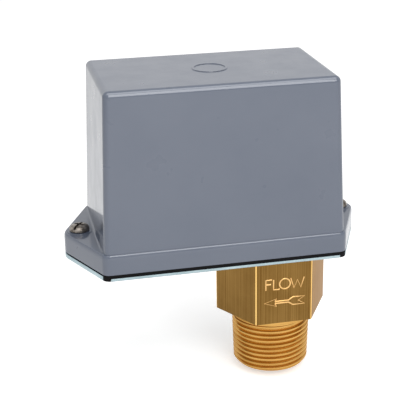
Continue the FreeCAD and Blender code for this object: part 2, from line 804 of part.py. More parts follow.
def make_switch_screws():
    """Long screws that clamp lid, case and insulating sheet to the bracket."""
    screws = []
    length = case_width + sheet_thickness + bracket_thickness + switch_nut_height + thread_past_nut
    for x in switch_holes_x:
        screw = slotted_screw(switch_screw_diameter, switch_head_diameter, switch_head_height, 0, -length)
        screw.rotate(V(0, 0, 0), X_AXIS, 90)
        screw.translate(V(x, -case_half, switch_holes_level))
        screws.append(screw)
    return Part.makeCompound(screws)


def make_switch_nuts():
    nuts = []
    for x in switch_holes_x:
        nut = hexagon(switch_nut_flats, 0, switch_nut_height)
        nut = nut.cut(rod(switch_screw_diameter + 2 * seat_gap, 0, switch_nut_height))
        nut.rotate(V(0, 0, 0), X_AXIS, -90)
        nut.translate(V(x, bracket_back, switch_holes_level))
        nuts.append(nut)
    return Part.makeCompound(nuts)


# ------------------------------------------------------------------ bracket and insulating sheet
def make_fold(left, right, inner_y, inner_z, turn_y, turn_z):
    """Quarter bend of the bracket's sheet, centred on its inner radius, running along X."""
    outer = bracket_bend + bracket_thickness
    bend = Part.makeCylinder(outer, right - left, V(left, inner_y, inner_z), X_AXIS)
    bend = bend.cut(Part.makeCylinder(bracket_bend, right - left, V(left, inner_y, inner_z), X_AXIS))
    quarter = block((left, right), sorted((inner_y, inner_y + turn_y * outer)),
                    sorted((inner_z, inner_z + turn_z * outer)))
    return bend.common(quarter)


def make_bracket():
    """Upright sheet behind the switch, folded back as a foot and forward over the spring."""
    foot_left, foot_right = foot_middle - foot_length / 2, foot_middle + foot_length / 2
    wall_left = case_left + bracket_margin
    arm_left = -spring_from_stem - range_flange_width / 2
    arm_right = -spring_from_stem + range_flange_width / 2
    fold_level = plate_top + bracket_thickness + bracket_bend
    wall_top = bracket_top - bracket_bend
    neck_level = arm_top + neck_above_arm
    wall = prism_xz([
        (foot_left, fold_level), (foot_right, fold_level), (foot_right, neck_level),
        (arm_right, neck_level + neck_drop), (arm_right, wall_top), (arm_left, wall_top),
        (arm_left - shoulder_rise, wall_top + shoulder_rise), (wall_left, wall_top + shoulder_rise),
        (wall_left, neck_level), (foot_left, neck_level)])
    window = (switch_holes_x[0] + window_inset, switch_holes_x[1] - window_inset)
    wall = wall.cut(block(window, (bracket_front, bracket_back), (window_bottom, window_top)))
    foot = block((foot_left, foot_right), (bracket_back + bracket_bend, foot_back),
                 (plate_top, plate_top + bracket_thickness))
    heel = make_fold(foot_left, foot_right, bracket_back + bracket_bend, fold_level, -1, -1)
    shelf_back = bracket_front - bracket_bend
    shelf = block((arm_left, arm_right), (-range_flange_width / 2, shelf_back), (bracket_top, bracket_level))
    crest = make_fold(arm_left, arm_right, shelf_back, wall_top, 1, 1)
    bracket = wall.fuse([foot, heel, shelf, crest])
    for x in switch_holes_x:
        bracket = bracket.cut(cross_rod(switch_screw_diameter + screw_clearance, bracket_front, bracket_back,
                                        x, switch_holes_level))
    for x in foot_screws_x:
        bracket = bracket.cut(rod(bracket_screw_diameter + screw_clearance, plate_top,
                                  plate_top + bracket_thickness, x, foot_screws_y))
    bracket = bracket.cut(rod(range_screw_diameter + 2 * running_gap, bracket_top, bracket_level,
                              -spring_from_stem))
    guide = guide_width / 2 + touch_gap
    slot = block((-spring_from_stem - guide, -spring_from_stem + guide), (bracket_front, bracket_back),
                 (spring_top - range_travel - touch_gap, nut_plate_top + touch_gap))
    return bracket.cut(slot).removeSplitter()


def prism_xz(points):
    """Sheet in the bracket's upright plane over (x, z) corners."""
    corners = [V(x, bracket_front, z) for x, z in points]
    return Part.Face(Part.makePolygon(corners + corners[:1])).extrude(V(0, bracket_thickness, 0))


def make_insulating_sheet():
    sheet = block((case_left + bracket_margin, case_right), (case_half, bracket_front),
                  (case_bottom + sheet_margin, case_top - sheet_margin))
    for x in switch_holes_x:
        sheet = sheet.cut(cross_rod(switch_screw_diameter + screw_clearance, case_half, bracket_front, x,
                                    switch_holes_level))
    return sheet


def make_bracket_screws():
    return Part.makeCompound([
        hex_screw(bracket_screw_diameter, bracket_head_flats, bracket_head_height,
                  plate_top + bracket_thickness, plate_bottom - screw_tip, x, foot_screws_y)
        for x in foot_screws_x])


# ------------------------------------------------------------------ range spring and its screw
def make_range_screw():
    """Adjusting screw, held in the bracket by a collar under its head."""
    x = -spring_from_stem
    low = spring_top - range_travel - nut_plate_thickness
    screw = slotted_screw(range_screw_diameter, range_head_diameter, range_head_height,
                          bracket_level + seat_gap, low, x)
    collar = rod(range_collar_diameter, range_collar_bottom, range_collar_bottom + range_collar_thickness, x)
    return screw.fuse(collar)


def make_spring_seat():
    """Nut plate on the range screw, kept from turning by a tongue in the bracket's slot."""
    x = -spring_from_stem
    half = nut_plate_width / 2
    plate = prism(rectangle(x - half, x + half, -nut_plate_nose, bracket_front - touch_gap,
                            nut_plate_radius),
                  spring_top, nut_plate_top)
    tongue = block((x - guide_width / 2, x + guide_width / 2),
                   (bracket_front - touch_gap - overlap, bracket_back + guide_reach),
                   (spring_top, nut_plate_top))
    pilot = rod(spring_pilot, spring_top - pilot_height, spring_top, x)
    seat = plate.fuse(tongue).fuse(pilot).removeSplitter()
    return seat.cut(rod(range_screw_diameter + 2 * running_gap, spring_top - pilot_height, nut_plate_top, x))


def spring_level(turn):
    """Height of the wire's middle line after a number of turns from the lower end."""
    closed_climb = spring_wire + closed_gap
    open_climb = (spring_length - 2 * closed_climb) / spring_turns
    opened = min(max(turn - 1, 0), spring_turns)
    return arm_top + closed_climb * (turn - opened) + open_climb * opened


def make_spring():
    """Coil spring of hexagonal wire in straight lengths, its closed ends ground flat."""
    radius = (spring_diameter - spring_wire) / 2
    path = []
    for k in range((spring_turns + 2) * spring_sides + 1):
        turn = k / spring_sides
        angle = 2 * math.pi * turn
        path.append(V(radius * math.cos(angle) - spring_from_stem, radius * math.sin(angle),
                      spring_level(turn)))
    along = (path[1] - path[0]).normalize()
    outward = (X_AXIS - along * along.x).normalize()
    upward = along.cross(outward)
    corners = []
    for k in range(6):
        angle = math.pi * k / 3
        corners.append(path[0] + (outward * math.cos(angle) + upward * math.sin(angle)) * (spring_wire / 2))
    section = Part.makePolygon(corners + corners[:1])
    mitred = 1
    coil = Part.makePolygon(path).makePipeShell([section], True, False, mitred)
    return coil.common(rod(2 * spring_diameter, arm_top, spring_top, -spring_from_stem))


# ------------------------------------------------------------------ earthing screw
def make_earth_screw():
    x, y = earth_place
    seat = plate_top + earth_washer_thickness
    tip = plate_bottom - screw_tip
    screw = hexagon(earth_head_flats, seat, seat + earth_head_height, x, y)
    screw = screw.fuse(rod(earth_screw_diameter, tip, seat, x, y))
    top = seat + earth_head_height
    slot = block((x - earth_head_flats, x + earth_head_flats),
                 (y - earth_slot_width / 2, y + earth_slot_width / 2),
                 (top - earth_slot_depth, top))
    return screw.cut(slot)


def make_earth_washer():
    x, y = earth_place
    return ring(earth_washer_diameter, earth_screw_diameter + screw_clearance, plate_top,
                plate_top + earth_washer_thickness, x, y)


# ------------------------------------------------------------------ build
os.makedirs("parts", exist_ok=True)
save("cover", make_cover())
save("cover_screws", make_cover_screws())
save("cover_nuts", make_cover_nuts())
save("cover_gasket", make_gasket())
save("base_plate", make_base_plate())
save("brass_body", make_brass_body())
save("body_screws", make_body_screws())
save("bellows_ferrule", make_ferrule())
save("sealing_ring", make_sealing_ring())
save("seal_bellows", make_bellows())
save("bellows_cap", make_end_cap())
save("paddle_lever", make_lever())
save("pivot_pin", make_pivot_pin())
save("pivot_spacers", make_pivot_spacers())
save("switch_arm", make_arm())
save("arm_washer", make_arm_washer())
save("arm_nut", make_arm_nut())
save("trip_screw", make_trip_screw())
save("trip_lock_nut", make_trip_nut())
save("switch_case", make_switch_case())
save("switch_lid", make_switch_lid())
save("switch_plunger", make_plunger())
save("switch_leaf", make_leaf())
save("leaf_pin", make_leaf_pin())
for terminal_name, terminal_x in zip(("open_terminal", "common_terminal", "closed_terminal"), terminals_x):
    save(terminal_name, make_terminal(terminal_x))
save("terminal_screws", make_terminal_screws())
save("switch_screws", make_switch_screws())
save("switch_nuts", make_switch_nuts())
save("switch_bracket", make_bracket())
save("insulating_sheet", make_insulating_sheet())
save("bracket_screws", make_bracket_screws())
save("range_screw", make_range_screw())
save("spring_seat", make_spring_seat())
save("range_spring", make_spring())
save("earth_screw", make_earth_screw())
save("earth_washer", make_earth_washer())
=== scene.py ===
# %% [markdown]
# # A paddle flow switch
#
# This notebook dresses the CAD model of a paddle flow switch: a die-cast cover in
# blue-grey enamel over a zinc-plated plate, on a threaded brass body. Under the cover
# a lever, a range spring and a snap switch do the work. Every step starts with a note
# on what the piece is, how it could be made, and why it is made the way it is.
#
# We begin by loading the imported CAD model. Its nodes already sit in the right places
# and ride on their moving bodies, so everything we add takes its place from them.

# %% Load the frame
import json
import math

import bmesh
import bpy
from mathutils import Matrix, Vector


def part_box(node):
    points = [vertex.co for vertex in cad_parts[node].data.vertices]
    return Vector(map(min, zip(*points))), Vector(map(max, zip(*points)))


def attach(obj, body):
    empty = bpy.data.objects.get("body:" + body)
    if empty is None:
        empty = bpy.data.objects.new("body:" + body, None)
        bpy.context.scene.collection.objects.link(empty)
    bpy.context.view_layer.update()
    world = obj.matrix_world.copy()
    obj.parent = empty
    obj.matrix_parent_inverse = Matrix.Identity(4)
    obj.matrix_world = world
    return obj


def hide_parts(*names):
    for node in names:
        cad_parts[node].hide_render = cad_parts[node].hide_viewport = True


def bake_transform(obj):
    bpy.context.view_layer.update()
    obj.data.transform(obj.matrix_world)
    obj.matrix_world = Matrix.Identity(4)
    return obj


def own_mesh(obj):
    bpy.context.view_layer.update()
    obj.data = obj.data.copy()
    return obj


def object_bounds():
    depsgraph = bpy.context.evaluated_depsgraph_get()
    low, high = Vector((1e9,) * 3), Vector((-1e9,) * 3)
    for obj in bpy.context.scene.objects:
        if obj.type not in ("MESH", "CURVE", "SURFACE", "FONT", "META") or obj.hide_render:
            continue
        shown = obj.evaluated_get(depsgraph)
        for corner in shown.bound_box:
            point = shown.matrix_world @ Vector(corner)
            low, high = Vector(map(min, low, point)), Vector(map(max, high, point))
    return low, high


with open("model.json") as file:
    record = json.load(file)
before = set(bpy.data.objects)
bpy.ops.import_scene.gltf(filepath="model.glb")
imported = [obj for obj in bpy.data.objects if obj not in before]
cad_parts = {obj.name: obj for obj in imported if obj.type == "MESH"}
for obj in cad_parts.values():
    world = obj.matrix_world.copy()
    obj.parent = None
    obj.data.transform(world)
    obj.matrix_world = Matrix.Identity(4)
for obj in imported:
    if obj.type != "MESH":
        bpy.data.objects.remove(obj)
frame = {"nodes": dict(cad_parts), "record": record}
cad_low, cad_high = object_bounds()
MM = 0.001
print("CAD box, mm:", [round(v / MM, 1) for v in (*cad_low, *cad_high)])

# %% [markdown]
# ## Places that the pieces share
#
# The frame gives every node's box, and the mounts give a few more places. We read
# them here in millimetres, so that no place is written twice.

# %% Places
mounts = {mount["name"]: Vector(mount["pos_m"]) / MM for mount in frame["record"]["mounts"]}


def span(node):
    """A node's box as its low and high corner, in mm."""
    low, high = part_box(node)
    return low / MM, high / MM


plate_low, plate_high = span("base_plate")
hex_top = plate_low.z
hex_bottom = 2 * mounts["wrench_hexagon"].z - hex_top
hex_half_flats = span("brass_body")[1].y
print("hexagon from", round(hex_bottom, 1), "to", round(hex_top, 1), "mm")

# %% [markdown]
# ## Nodes as arithmetic
#
# A material or a geometry tree is a graph of nodes. Wiring it by hand hides the idea,
# so a small class wraps an output socket and lets us write sums on it, and one method
# adds any other node from its type, its settings and its inputs.

# %% A graph whose sockets do arithmetic
class Socket:
    """An output that takes part in Python expressions, each of which adds a Math node."""

    def __init__(self, graph, link):
        self.graph = graph
        self.link = link

    def math(self, operation, *values):
        return self.graph.node("ShaderNodeMath", {"operation": operation}, dict(enumerate(values)))

    def __add__(self, other):
        return self.math("ADD", self, other)

    def __mul__(self, other):
        return self.math("MULTIPLY", self, other)

    __radd__ = __add__
    __rmul__ = __mul__


class Graph:
    """Adds nodes to one tree."""

    def __init__(self, tree):
        self.tree = tree

    def node(self, kind, settings=None, inputs=None, output=0):
        """One node: its settings are set first, then the values or links of its inputs."""
        made = self.tree.nodes.new(kind)
        for name, value in (settings or {}).items():
            setattr(made, name, value)
        for key, value in (inputs or {}).items():
            if isinstance(value, Socket):
                self.tree.links.new(value.link, made.inputs[key])
            else:
                made.inputs[key].default_value = value
        return Socket(self, made.outputs[output]) if made.outputs else None

    def outputs(self, kind, inputs=None):
        """Every output of a new node, by name."""
        made = self.node(kind, None, inputs).link.node
        return {output.name: Socket(self, output) for output in made.outputs if output.name}


print("graph helpers ready")

# %% [markdown]
# ## A finish
#
# Every surface here is a Principled shader whose colour, roughness and normal vary a
# little from place to place. The finish class keeps the patterns that several
# materials share: noise on the object's own coordinates, a blend of two colours and
# a bump. Numbers that are the same all over are set straight on the shader.

# %% The finish class
def rgb(red, green, blue):
    return (red, green, blue, 1.0)


class Finish(Graph):
    """A material built on one Principled shader."""

    def __init__(self, name, **constants):
        self.material = bpy.data.materials.new(name)
        self.material.use_nodes = True
        super().__init__(self.material.node_tree)
        self.shader = self.tree.nodes["Principled BSDF"]
        for socket, value in constants.items():
            self.shader.inputs[socket.replace("_", " ")].default_value = value
        self.place = self.outputs("ShaderNodeTexCoord")["Object"]

    def spread(self, x, y, z):
        """The object's coordinates stretched by three scales."""
        return self.node("ShaderNodeVectorMath", {"operation": "MULTIPLY"}, {0: self.place, 1: (x, y, z)})

    def noise(self, scale, detail=3.0, where=None):
        return self.node("ShaderNodeTexNoise", None,
                         {"Vector": where or self.place, "Scale": scale, "Detail": detail})

    def between(self, value, low, high, start=0.0, end=1.0):
        """Carry a value from one range to another, held at the ends."""
        inputs = dict(enumerate((value, low, high, start, end)))
        return self.node("ShaderNodeMapRange", {"clamp": True}, inputs)

    def blend(self, factor, first, second):
        """Mix two colours."""
        return self.node("ShaderNodeMix", {"data_type": "RGBA"}, {0: factor, 6: first, 7: second}, 2)

    def feed(self, socket, value):
        self.tree.links.new(value.link, self.shader.inputs[socket])

    def bump(self, height, distance, strength=1.0):
        inputs = {"Strength": strength, "Distance": distance, "Height": height}
        self.feed("Normal", self.node("ShaderNodeBump", None, inputs))


print("finish class ready")

# %% [markdown]
# ## Enamel on the cover
#
# The die-cast cover is sprayed with a gloss enamel. Close up it has orange peel, a
# slow drift in tone and a trace of dust. All are far too small to model, so a bump
# carries them, and a thin clear coat gives the sharp reflection that sits on the
# softer one of the paint.

# %% Cover enamel
def make_enamel():
    finish = Finish("cover_paint", Coat_Weight=0.5, Coat_IOR=1.9, Coat_Roughness=0.04,
                    Specular_IOR_Level=0.15)
    tint = finish.between(finish.noise(30.0, 4.0), 0.35, 0.65)
    finish.feed("Base Color", finish.blend(tint, rgb(0.090, 0.108, 0.150), rgb(0.101, 0.119, 0.161)))
    peel = finish.noise(420.0, 2.0)
    dust = finish.noise(2600.0, 1.0)
    finish.feed("Roughness", finish.between(finish.noise(90.0), 0.3, 0.7, 0.27, 0.36))
    finish.bump(peel * 0.8 + dust * 0.2, 0.00002, 0.4)
    return finish.material


print("enamel recipe ready")

# %% [markdown]
# ## Brass
#
# The body is machined from hexagon bar. Its flats keep the drawing lines of the bar,
# which run along it, while everything round carries fine turning lines that run about
# the axis. A lathe leaves rings whose pattern depends on height alone, and drawing
# leaves streaks that hardly change with height, so each is one noise, stretched in a
# different direction. The bar's narrow edge rounds get a much lighter brass: a painted highlight.

# %% Brasses
def make_brass(name, dark, light, streaks, roughness):
    finish = Finish(name, Metallic=1.0, Specular_Tint=rgb(1.0, 0.82, 0.66))
    lines = finish.noise(1.0, 2.0, finish.spread(*streaks))
    patches = finish.noise(70.0, 3.0)
    tint = finish.between(lines * 0.7 + patches * 0.3, 0.36, 0.64)
    finish.feed("Base Color", finish.blend(tint, dark, light))
    finish.feed("Roughness", finish.between(lines, 0.3, 0.7, roughness - 0.05, roughness + 0.07))
    finish.bump(lines, 0.00003, 0.5)
    return finish.material


print("brass recipe ready")

# %% [markdown]
# ## Plated, stainless and spring steel
#
# Zinc plate is a pale blue metal with faint patches. Stainless and spring steel are
# greyer. They share one recipe and differ in two colours, roughness and the size of
# the brushed grain.

# %% Steels
def make_steel(name, dark, light, roughness, grain, patch=70):
    finish = Finish(name, Metallic=1.0)
    patches = finish.noise(patch, 4.0)
    brushed = finish.noise(1.0, 2.0, finish.spread(grain, grain * 0.12, grain))
    tint = finish.between(patches * 0.7 + brushed * 0.3, 0.35, 0.65)
    finish.feed("Base Color", finish.blend(tint, dark, light))
    finish.feed("Roughness", finish.between(brushed, 0.3, 0.7, roughness - 0.06, roughness + 0.06))
    finish.bump(brushed, 0.00001, 0.35)
    return finish.material


print("steel recipe ready")

# %% [markdown]
# ## Rubber and plastics
#
# Moulded rubber and phenolic plastic are nearly uniform: a fine pebble in the bump, a
# slight drift in colour, and their own roughness. One recipe serves them all.

# %% Moulded materials
def make_moulded(name, dark, light, roughness, pebble, gloss=0.5, metallic=0.0):
    finish = Finish(name, Metallic=metallic, Specular_IOR_Level=gloss)
    tint = finish.between(finish.noise(120.0, 4.0), 0.35, 0.65)
    finish.feed("Base Color", finish.blend(tint, dark, light))
    wear = finish.between(finish.noise(300.0), 0.3, 0.7, roughness - 0.05, roughness + 0.05)
    finish.feed("Roughness", wear)
    finish.bump(finish.noise(pebble, 2.0), 0.00003, 0.4)
    return finish.material


print("moulded recipe ready")

# %% [markdown]
# ## One list of finishes
#
# Each material slot of the CAD model names a finish, and a few of the new pieces have
# one of their own. A finish is given by the darkest and the lightest tone that it
# drifts between, its roughness and its grain. The two grains of the brass are three
# scales each: large where the streaks are close together, small along them.

# %% Make every finish once
DRAWN = (3200, 3200, 14)
TURNED = (40, 40, 2600)
brasses = {
    "bar_brass": (rgb(0.132, 0.067, 0.015), rgb(0.237, 0.137, 0.040), DRAWN, 0.32),
    "brass": (rgb(0.39, 0.200, 0.046), rgb(0.585, 0.34, 0.100), TURNED, 0.2),
    # A much lighter brass for the hexagon's edge rounds: a painted highlight.
    "edge_brass": (rgb(0.80, 0.48, 0.14), rgb(0.93, 0.64, 0.24), DRAWN, 0.2),
    # The marking's brass is much lighter than the bar's: a painted highlight on the strokes.
    "marking_brass": (rgb(0.62, 0.36, 0.13), rgb(0.78, 0.50, 0.21), TURNED, 0.36)}
steels = {
    "zinc_steel": (rgb(0.255, 0.335, 0.36), rgb(0.385, 0.475, 0.505), 0.3, 700),
    "stainless": (rgb(0.08, 0.068, 0.058), rgb(0.36, 0.325, 0.29), 0.34, 900, 520),
    "spring_steel": (rgb(0.30, 0.30, 0.31), rgb(0.46, 0.46, 0.47), 0.28, 900),
    "bronze": (rgb(0.50, 0.26, 0.12), rgb(0.68, 0.40, 0.20), 0.3, 500)}
moulded = {
    "black_rubber": (rgb(0.003, 0.003, 0.003), rgb(0.006, 0.006, 0.007), 0.8, 900, 0.12),
    "switch_plastic": (rgb(0.024, 0.014, 0.010), rgb(0.035, 0.021, 0.015), 0.42, 1500),
    "plunger_plastic": (rgb(0.38, 0.05, 0.03), rgb(0.46, 0.07, 0.04), 0.4, 1500),
    "insulation": (rgb(0.23, 0.25, 0.22), rgb(0.30, 0.32, 0.28), 0.7, 2200),
    "earth_green": (rgb(0.02, 0.22, 0.07), rgb(0.04, 0.30, 0.10), 0.35, 1200, 0.5, 0.6)}
finishes = {"cover_paint": make_enamel()}
for recipe, table in ((make_brass, brasses), (make_steel, steels), (make_moulded, moulded)):
    for name, values in table.items():
        finishes[name] = recipe(name, *values)
print(len(finishes), "finishes")

# %% [markdown]
# ## Objects and meshes
#
# Modifiers work on objects, while shapes are cut and joined as editable meshes, so
# four short helpers carry a shape from one form to the other.

# %% Mesh helpers
def add_object(name, mesh):
    obj = bpy.data.objects.new(name, mesh)
    bpy.context.scene.collection.objects.link(obj)
    return obj


def settle(obj):
    """The plain mesh that an object's modifiers make. The object goes."""
    graph = bpy.context.evaluated_depsgraph_get()
    mesh = bpy.data.meshes.new_from_object(obj.evaluated_get(graph))
    bpy.data.objects.remove(obj)
    return mesh


def as_mesh(built, name="shape"):
    mesh = bpy.data.meshes.new(name)
    built.to_mesh(mesh)
    built.free()
    return mesh


def as_bmesh(mesh):
    built = bmesh.new()
    built.from_mesh(mesh)
    return built


print("mesh helpers ready")

# %% [markdown]
# ## Helpers for new pieces
#
# A new piece is a mesh at the origin with its place in its vertices. It rides on a
# body, takes a material slot and may stand in for CAD nodes. A small bevel on its
# hard edges catches the light, as the broken edges of real parts do.

# %% Piece helpers
slots = {part["node"]: part["material_slot"] for part in frame["record"]["subparts"]}
riders = frame["record"]["behaviour"]["bodies"].items()
bodies = {node: body for body, nodes in riders for node in nodes}


def bevelled(mesh, width, angle=35):
    """The mesh with its hard edges broken by a small round, width in mm."""
    obj = add_object("bevel", mesh)
    bevel = obj.modifiers.new("bevel", "BEVEL")
    bevel.width = width * MM
    bevel.segments = 2
    bevel.limit_method = "ANGLE"
    bevel.angle_limit = math.radians(angle)
    return settle(obj)


def add_piece(name, mesh, finish, node, replaced=(), bevel=0, sharp=38, rides=True):
    """A finished piece that rides with a CAD node and takes its slot."""
    if bevel:
        mesh = bevelled(mesh, bevel)
    mesh.materials.clear()
    mesh.materials.append(finishes[finish])
    mesh.shade_smooth()
    mesh.set_sharp_from_angle(angle=math.radians(sharp))
    obj = add_object(name, mesh)
    if rides:
        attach(obj, bodies[node])
    if replaced:
        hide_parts(*replaced)
    print(name, len(mesh.polygons), "faces")
    return obj


def merged_copy(node):
    """A copy of a CAD node with its triangles joined and each flat area one face."""
    built = as_bmesh(frame["nodes"][node].data)
    bmesh.ops.remove_doubles(built, verts=built.verts, dist=0.0005 * MM)
    flat = math.radians(0.5)
    bmesh.ops.dissolve_limit(built, angle_limit=flat, verts=built.verts, edges=built.edges)
    return built


print("piece helpers ready")

# %% [markdown]
# ## The cover: its ledge
#
# The cover is one die casting. The upper edge of its flange is rounded, a little more
# at one end than at the other. The CAD mesh has one small even round there, so we
# draw that round downwards, by more and more along the cover. The first value is its
# height in the CAD mesh, and the next two are its heights at the two ends, in mm.

# %% Ledge
LEDGE_ROUND = 0.6
LEFT_ROUND = 1.5
RIGHT_ROUND = 2.6
SCREW_HEAD_HEIGHT = 2.7
EAR_BOSS_HEIGHT = 0.3
cover_low, cover_high = span("cover")
screws_low, screws_high = span("cover_screws")
cover_seat = screws_high.z - SCREW_HEAD_HEIGHT
ledge = cover_seat - EAR_BOSS_HEIGHT


def soften_ledge(built):
    """Draw out the small round on the flange's upper edge, a little more towards the right."""
    for vert in built.verts:
        drop = ledge - vert.co.z / MM
        if 0 < drop < LEDGE_ROUND + 0.01:
            along = (vert.co.x - cover_low.x) / (cover_high.x - cover_low.x)
            softer = LEFT_ROUND + (RIGHT_ROUND - LEFT_ROUND) * along
            vert.co.z = (ledge - drop * softer / LEDGE_ROUND) * MM
    return built


print("ledge at", round(ledge, 1), "mm")

# %% [markdown]
# ## The cover: fillets
#
# A small concave fillet runs along the foot of each end wall, where a mould has to be
# smooth. Each is built as a closed strip: a quarter round on the outside, a square
# back that sinks a little way into the casting, and a size that fades at both ends.

# %% Fillets
FOOT_RADIUS = 1.0
FILLET_REACH = 27


def foot_fillet(x, side, half_length, radius, ledge):
    """Concave fillet along the foot of an end wall at x, fading out at both ends, in mm."""
    built = bmesh.new()
    count, steps, sunk = 24, 6, 0.25
    rows = []
    for k in range(count + 1):
        along = 2 * k / count - 1
        size = radius * max(1 - along ** 8, 0.02)
        curve = [(x + side * (size - size * math.sin(a)), ledge + size - size * math.cos(a))
                 for a in (math.pi / 2 * j / steps for j in range(steps + 1))]
        curve.append((x - side * sunk, ledge + size))
        curve.append((x - side * sunk, ledge - sunk))
        curve.append((x + side * size, ledge - sunk))
        rows.append([built.verts.new(Vector((u, along * half_length, w)) * MM) for u, w in curve])
    for first, second in zip(rows, rows[1:]):
        for j in range(len(first)):
            built.faces.new((first[j - 1], first[j], second[j], second[j - 1]))
    built.faces.new(rows[0])
    built.faces.new(rows[-1])
    bmesh.ops.recalc_face_normals(built, faces=built.faces)
    return built


print("fillet helper ready")

# %% [markdown]
# ## The cover
#
# The casting's faces are large and flat, and its edges are small radii. The CAD mesh
# has all of that, but its loose triangles shade one by one. We merge a copy and add
# area-weighted normals: the flats stay flat and the radii run smoothly into them,
# which is what makes a gloss paint look like one skin.

# %% Cover
SCREW_TO_WALL = 6.3


def together(*shapes):
    """Several closed shapes as one."""
    built = bmesh.new()
    for shape in shapes:
        built.from_mesh(as_mesh(shape))
    return built


left_screw = screws_low.x + screws_high.y
right_screw = screws_high.x - screws_high.y
cover_screw_places = [(left_screw, 0), (right_screw, 0)]
end_walls = [(left_screw + SCREW_TO_WALL, -1), (right_screw - SCREW_TO_WALL, 1)]
fillets = [foot_fillet(x, side, FILLET_REACH, FOOT_RADIUS, ledge) for x, side in end_walls]
cover_built = together(soften_ledge(merged_copy("cover")), *fillets)
cover = add_piece("cover_casting", as_mesh(cover_built), "cover_paint", "cover", ["cover"], sharp=50)
weights = cover.modifiers.new("weights", "WEIGHTED_NORMAL")
weights.keep_sharp = True

# %% [markdown]
# ## Cutting a shape off at a level
#
# Several pieces are cut level and closed again: the hexagon, each end of a thread,
# the two halves of the spring. The cut leaves one or more rims. The fill lays
# triangles between them, so a bore that crosses the cut stays open.

# %% Level cut
def cut_off(built, level, keep_above):
    """Remove what lies on one side of a level in mm and close the cut."""
    side = -1 if keep_above else 1
    geometry = built.verts[:] + built.edges[:] + built.faces[:]
    cut = bmesh.ops.bisect_plane(built, geom=geometry, plane_co=(0, 0, level * MM),
                                 plane_no=(0, 0, side), clear_outer=True)
    rim = [e for e in cut["geom_cut"] if isinstance(e, bmesh.types.BMEdge)]
    bmesh.ops.triangle_fill(built, use_beauty=True, edges=rim)
    return built


def keep_between(built, low, high):
    """What a closed shape has between two levels in mm, its cuts closed."""
    return cut_off(cut_off(built, low, True), high, False)


print("level cut ready")

# %% [markdown]
# ## The brass body: hexagon and bore
#
# The CAD body has the hexagon, its drilled holes and the round spigot above. Its
# threaded stem is plain, so we cut the copy off below the hexagon and build a new
# stem. Faces that belong to the bar's narrow edge rounds get a lighter brass, painted as their highlight.

# %% Hexagon
STEP_OVER = 0.001


def paint_edge_highlights(mesh):
    """Give the faces between two flats of the hexagon the lighter brass that paints their highlight."""
    mesh.materials.append(finishes["edge_brass"])
    for face in mesh.polygons:
        normal = face.normal
        turn = math.degrees(math.atan2(normal.y, normal.x)) % 60
        outside = Vector(face.center.xy).length > hex_half_flats * MM
        if abs(normal.z) < 0.1 and 2 < abs(turn - 30) and outside and face.center.z < hex_top * MM:
            face.material_index = 1


hexagon_built = cut_off(merged_copy("brass_body"), hex_bottom + STEP_OVER, True)
bmesh.ops.recalc_face_normals(hexagon_built, faces=hexagon_built.faces)
hexagon_piece = add_piece("brass_hexagon", as_mesh(hexagon_built), "bar_brass", "brass_body",
                          ["brass_body"])
paint_edge_highlights(hexagon_piece.data)

# %% [markdown]
# ## Geometry trees
#
# A thread, a spring and a row of equal screws follow rules, so Geometry Nodes make
# them. Each tree has named inputs for its sizes. Running a tree sets them by each
# socket's identifier, evaluates it once and keeps the plain mesh.

# %% Tree helpers
def new_tree(name, sizes):
    """An empty tree with named inputs. Gives the tree, its graph and the inputs as sockets."""
    tree = bpy.data.node_groups.new(name, "GeometryNodeTree")
    graph = Graph(tree)
    tree.interface.new_socket("Geometry", in_out="OUTPUT", socket_type="NodeSocketGeometry")
    for size, kind in sizes.items():
        tree.interface.new_socket(size, in_out="INPUT", socket_type="NodeSocket" + kind)
    return tree, graph, graph.outputs("NodeGroupInput")


def end_tree(graph, geometry, material):
    """Make instances real, set the material and join the tree's output."""
    real = graph.node("GeometryNodeRealizeInstances", None, {"Geometry": geometry})
    done = graph.node("GeometryNodeSetMaterial", None, {"Geometry": real, "Material": material})
    graph.node("NodeGroupOutput", None, {"Geometry": done})


def run_tree(tree, values, mesh=None):
    """The mesh that a tree makes from named values."""
    obj = add_object(tree.name, mesh or bpy.data.meshes.new(tree.name))
    modifier = obj.modifiers.new(tree.name, "NODES")
    modifier.node_group = tree
    for item in tree.interface.items_tree:
        if item.name in values:
            modifier[item.identifier] = values[item.name]
    return settle(obj)


print("tree helpers ready")

# %% [markdown]
# ## Threads
#
# A thread is a ridge that follows a helix: a spiral for the path, a trapezoid for the
# section, and Curve to Mesh to sweep one along the other. The same tree makes the
# coarse conical thread of the pipe and the fine ones of the screws. The sweep starts
# a turn early and ends a turn late, and is then cut flat at both ends.

# %% Thread tree
def make_thread_tree():
    """A trapezoid swept along a conical spiral that rises as a right-hand thread does."""
    tree, graph, size = new_tree("thread_sweep", {
        "Turns": "Float", "Start radius": "Float", "End radius": "Float", "Height": "Float",
        "Depth": "Float", "Root": "Float", "Crest": "Float", "Steps": "Int", "Material": "Material"})
    path = graph.node("GeometryNodeCurveSpiral", None, {
        "Resolution": size["Steps"], "Rotations": size["Turns"], "Start Radius": size["Start radius"],
        "End Radius": size["End radius"], "Height": size["Height"], "Reverse": True})
    path = graph.node("GeometryNodeSetCurveNormal", {"mode": "Z_UP"}, {"Curve": path})
    section = graph.node("GeometryNodeCurvePrimitiveQuadrilateral", {"mode": "TRAPEZOID"}, {
        "Height": size["Depth"], "Bottom Width": size["Root"], "Top Width": size["Crest"], "Offset": 0.0})
    outward = graph.node("GeometryNodeTransform", None, {
        "Geometry": section, "Rotation": (0, 0, -math.pi / 2)})
    swept = graph.node("GeometryNodeCurveToMesh", None, {
        "Curve": path, "Profile Curve": outward, "Fill Caps": True})
    end_tree(graph, swept, size["Material"])
    return tree


thread_tree = make_thread_tree()
print("thread tree ready")

# %% [markdown]
# ## Ridges
#
# One ridge is one run of the tree. It is sunk a little into its core, so that no gap
# shows at its root. The root is nearly as wide as the pitch, which leaves the groove
# a narrow bottom, and the crest is a fifth to a third of the pitch.

# %% Thread helper
SUNK = 0.08
ROOT_SHARE = 0.95


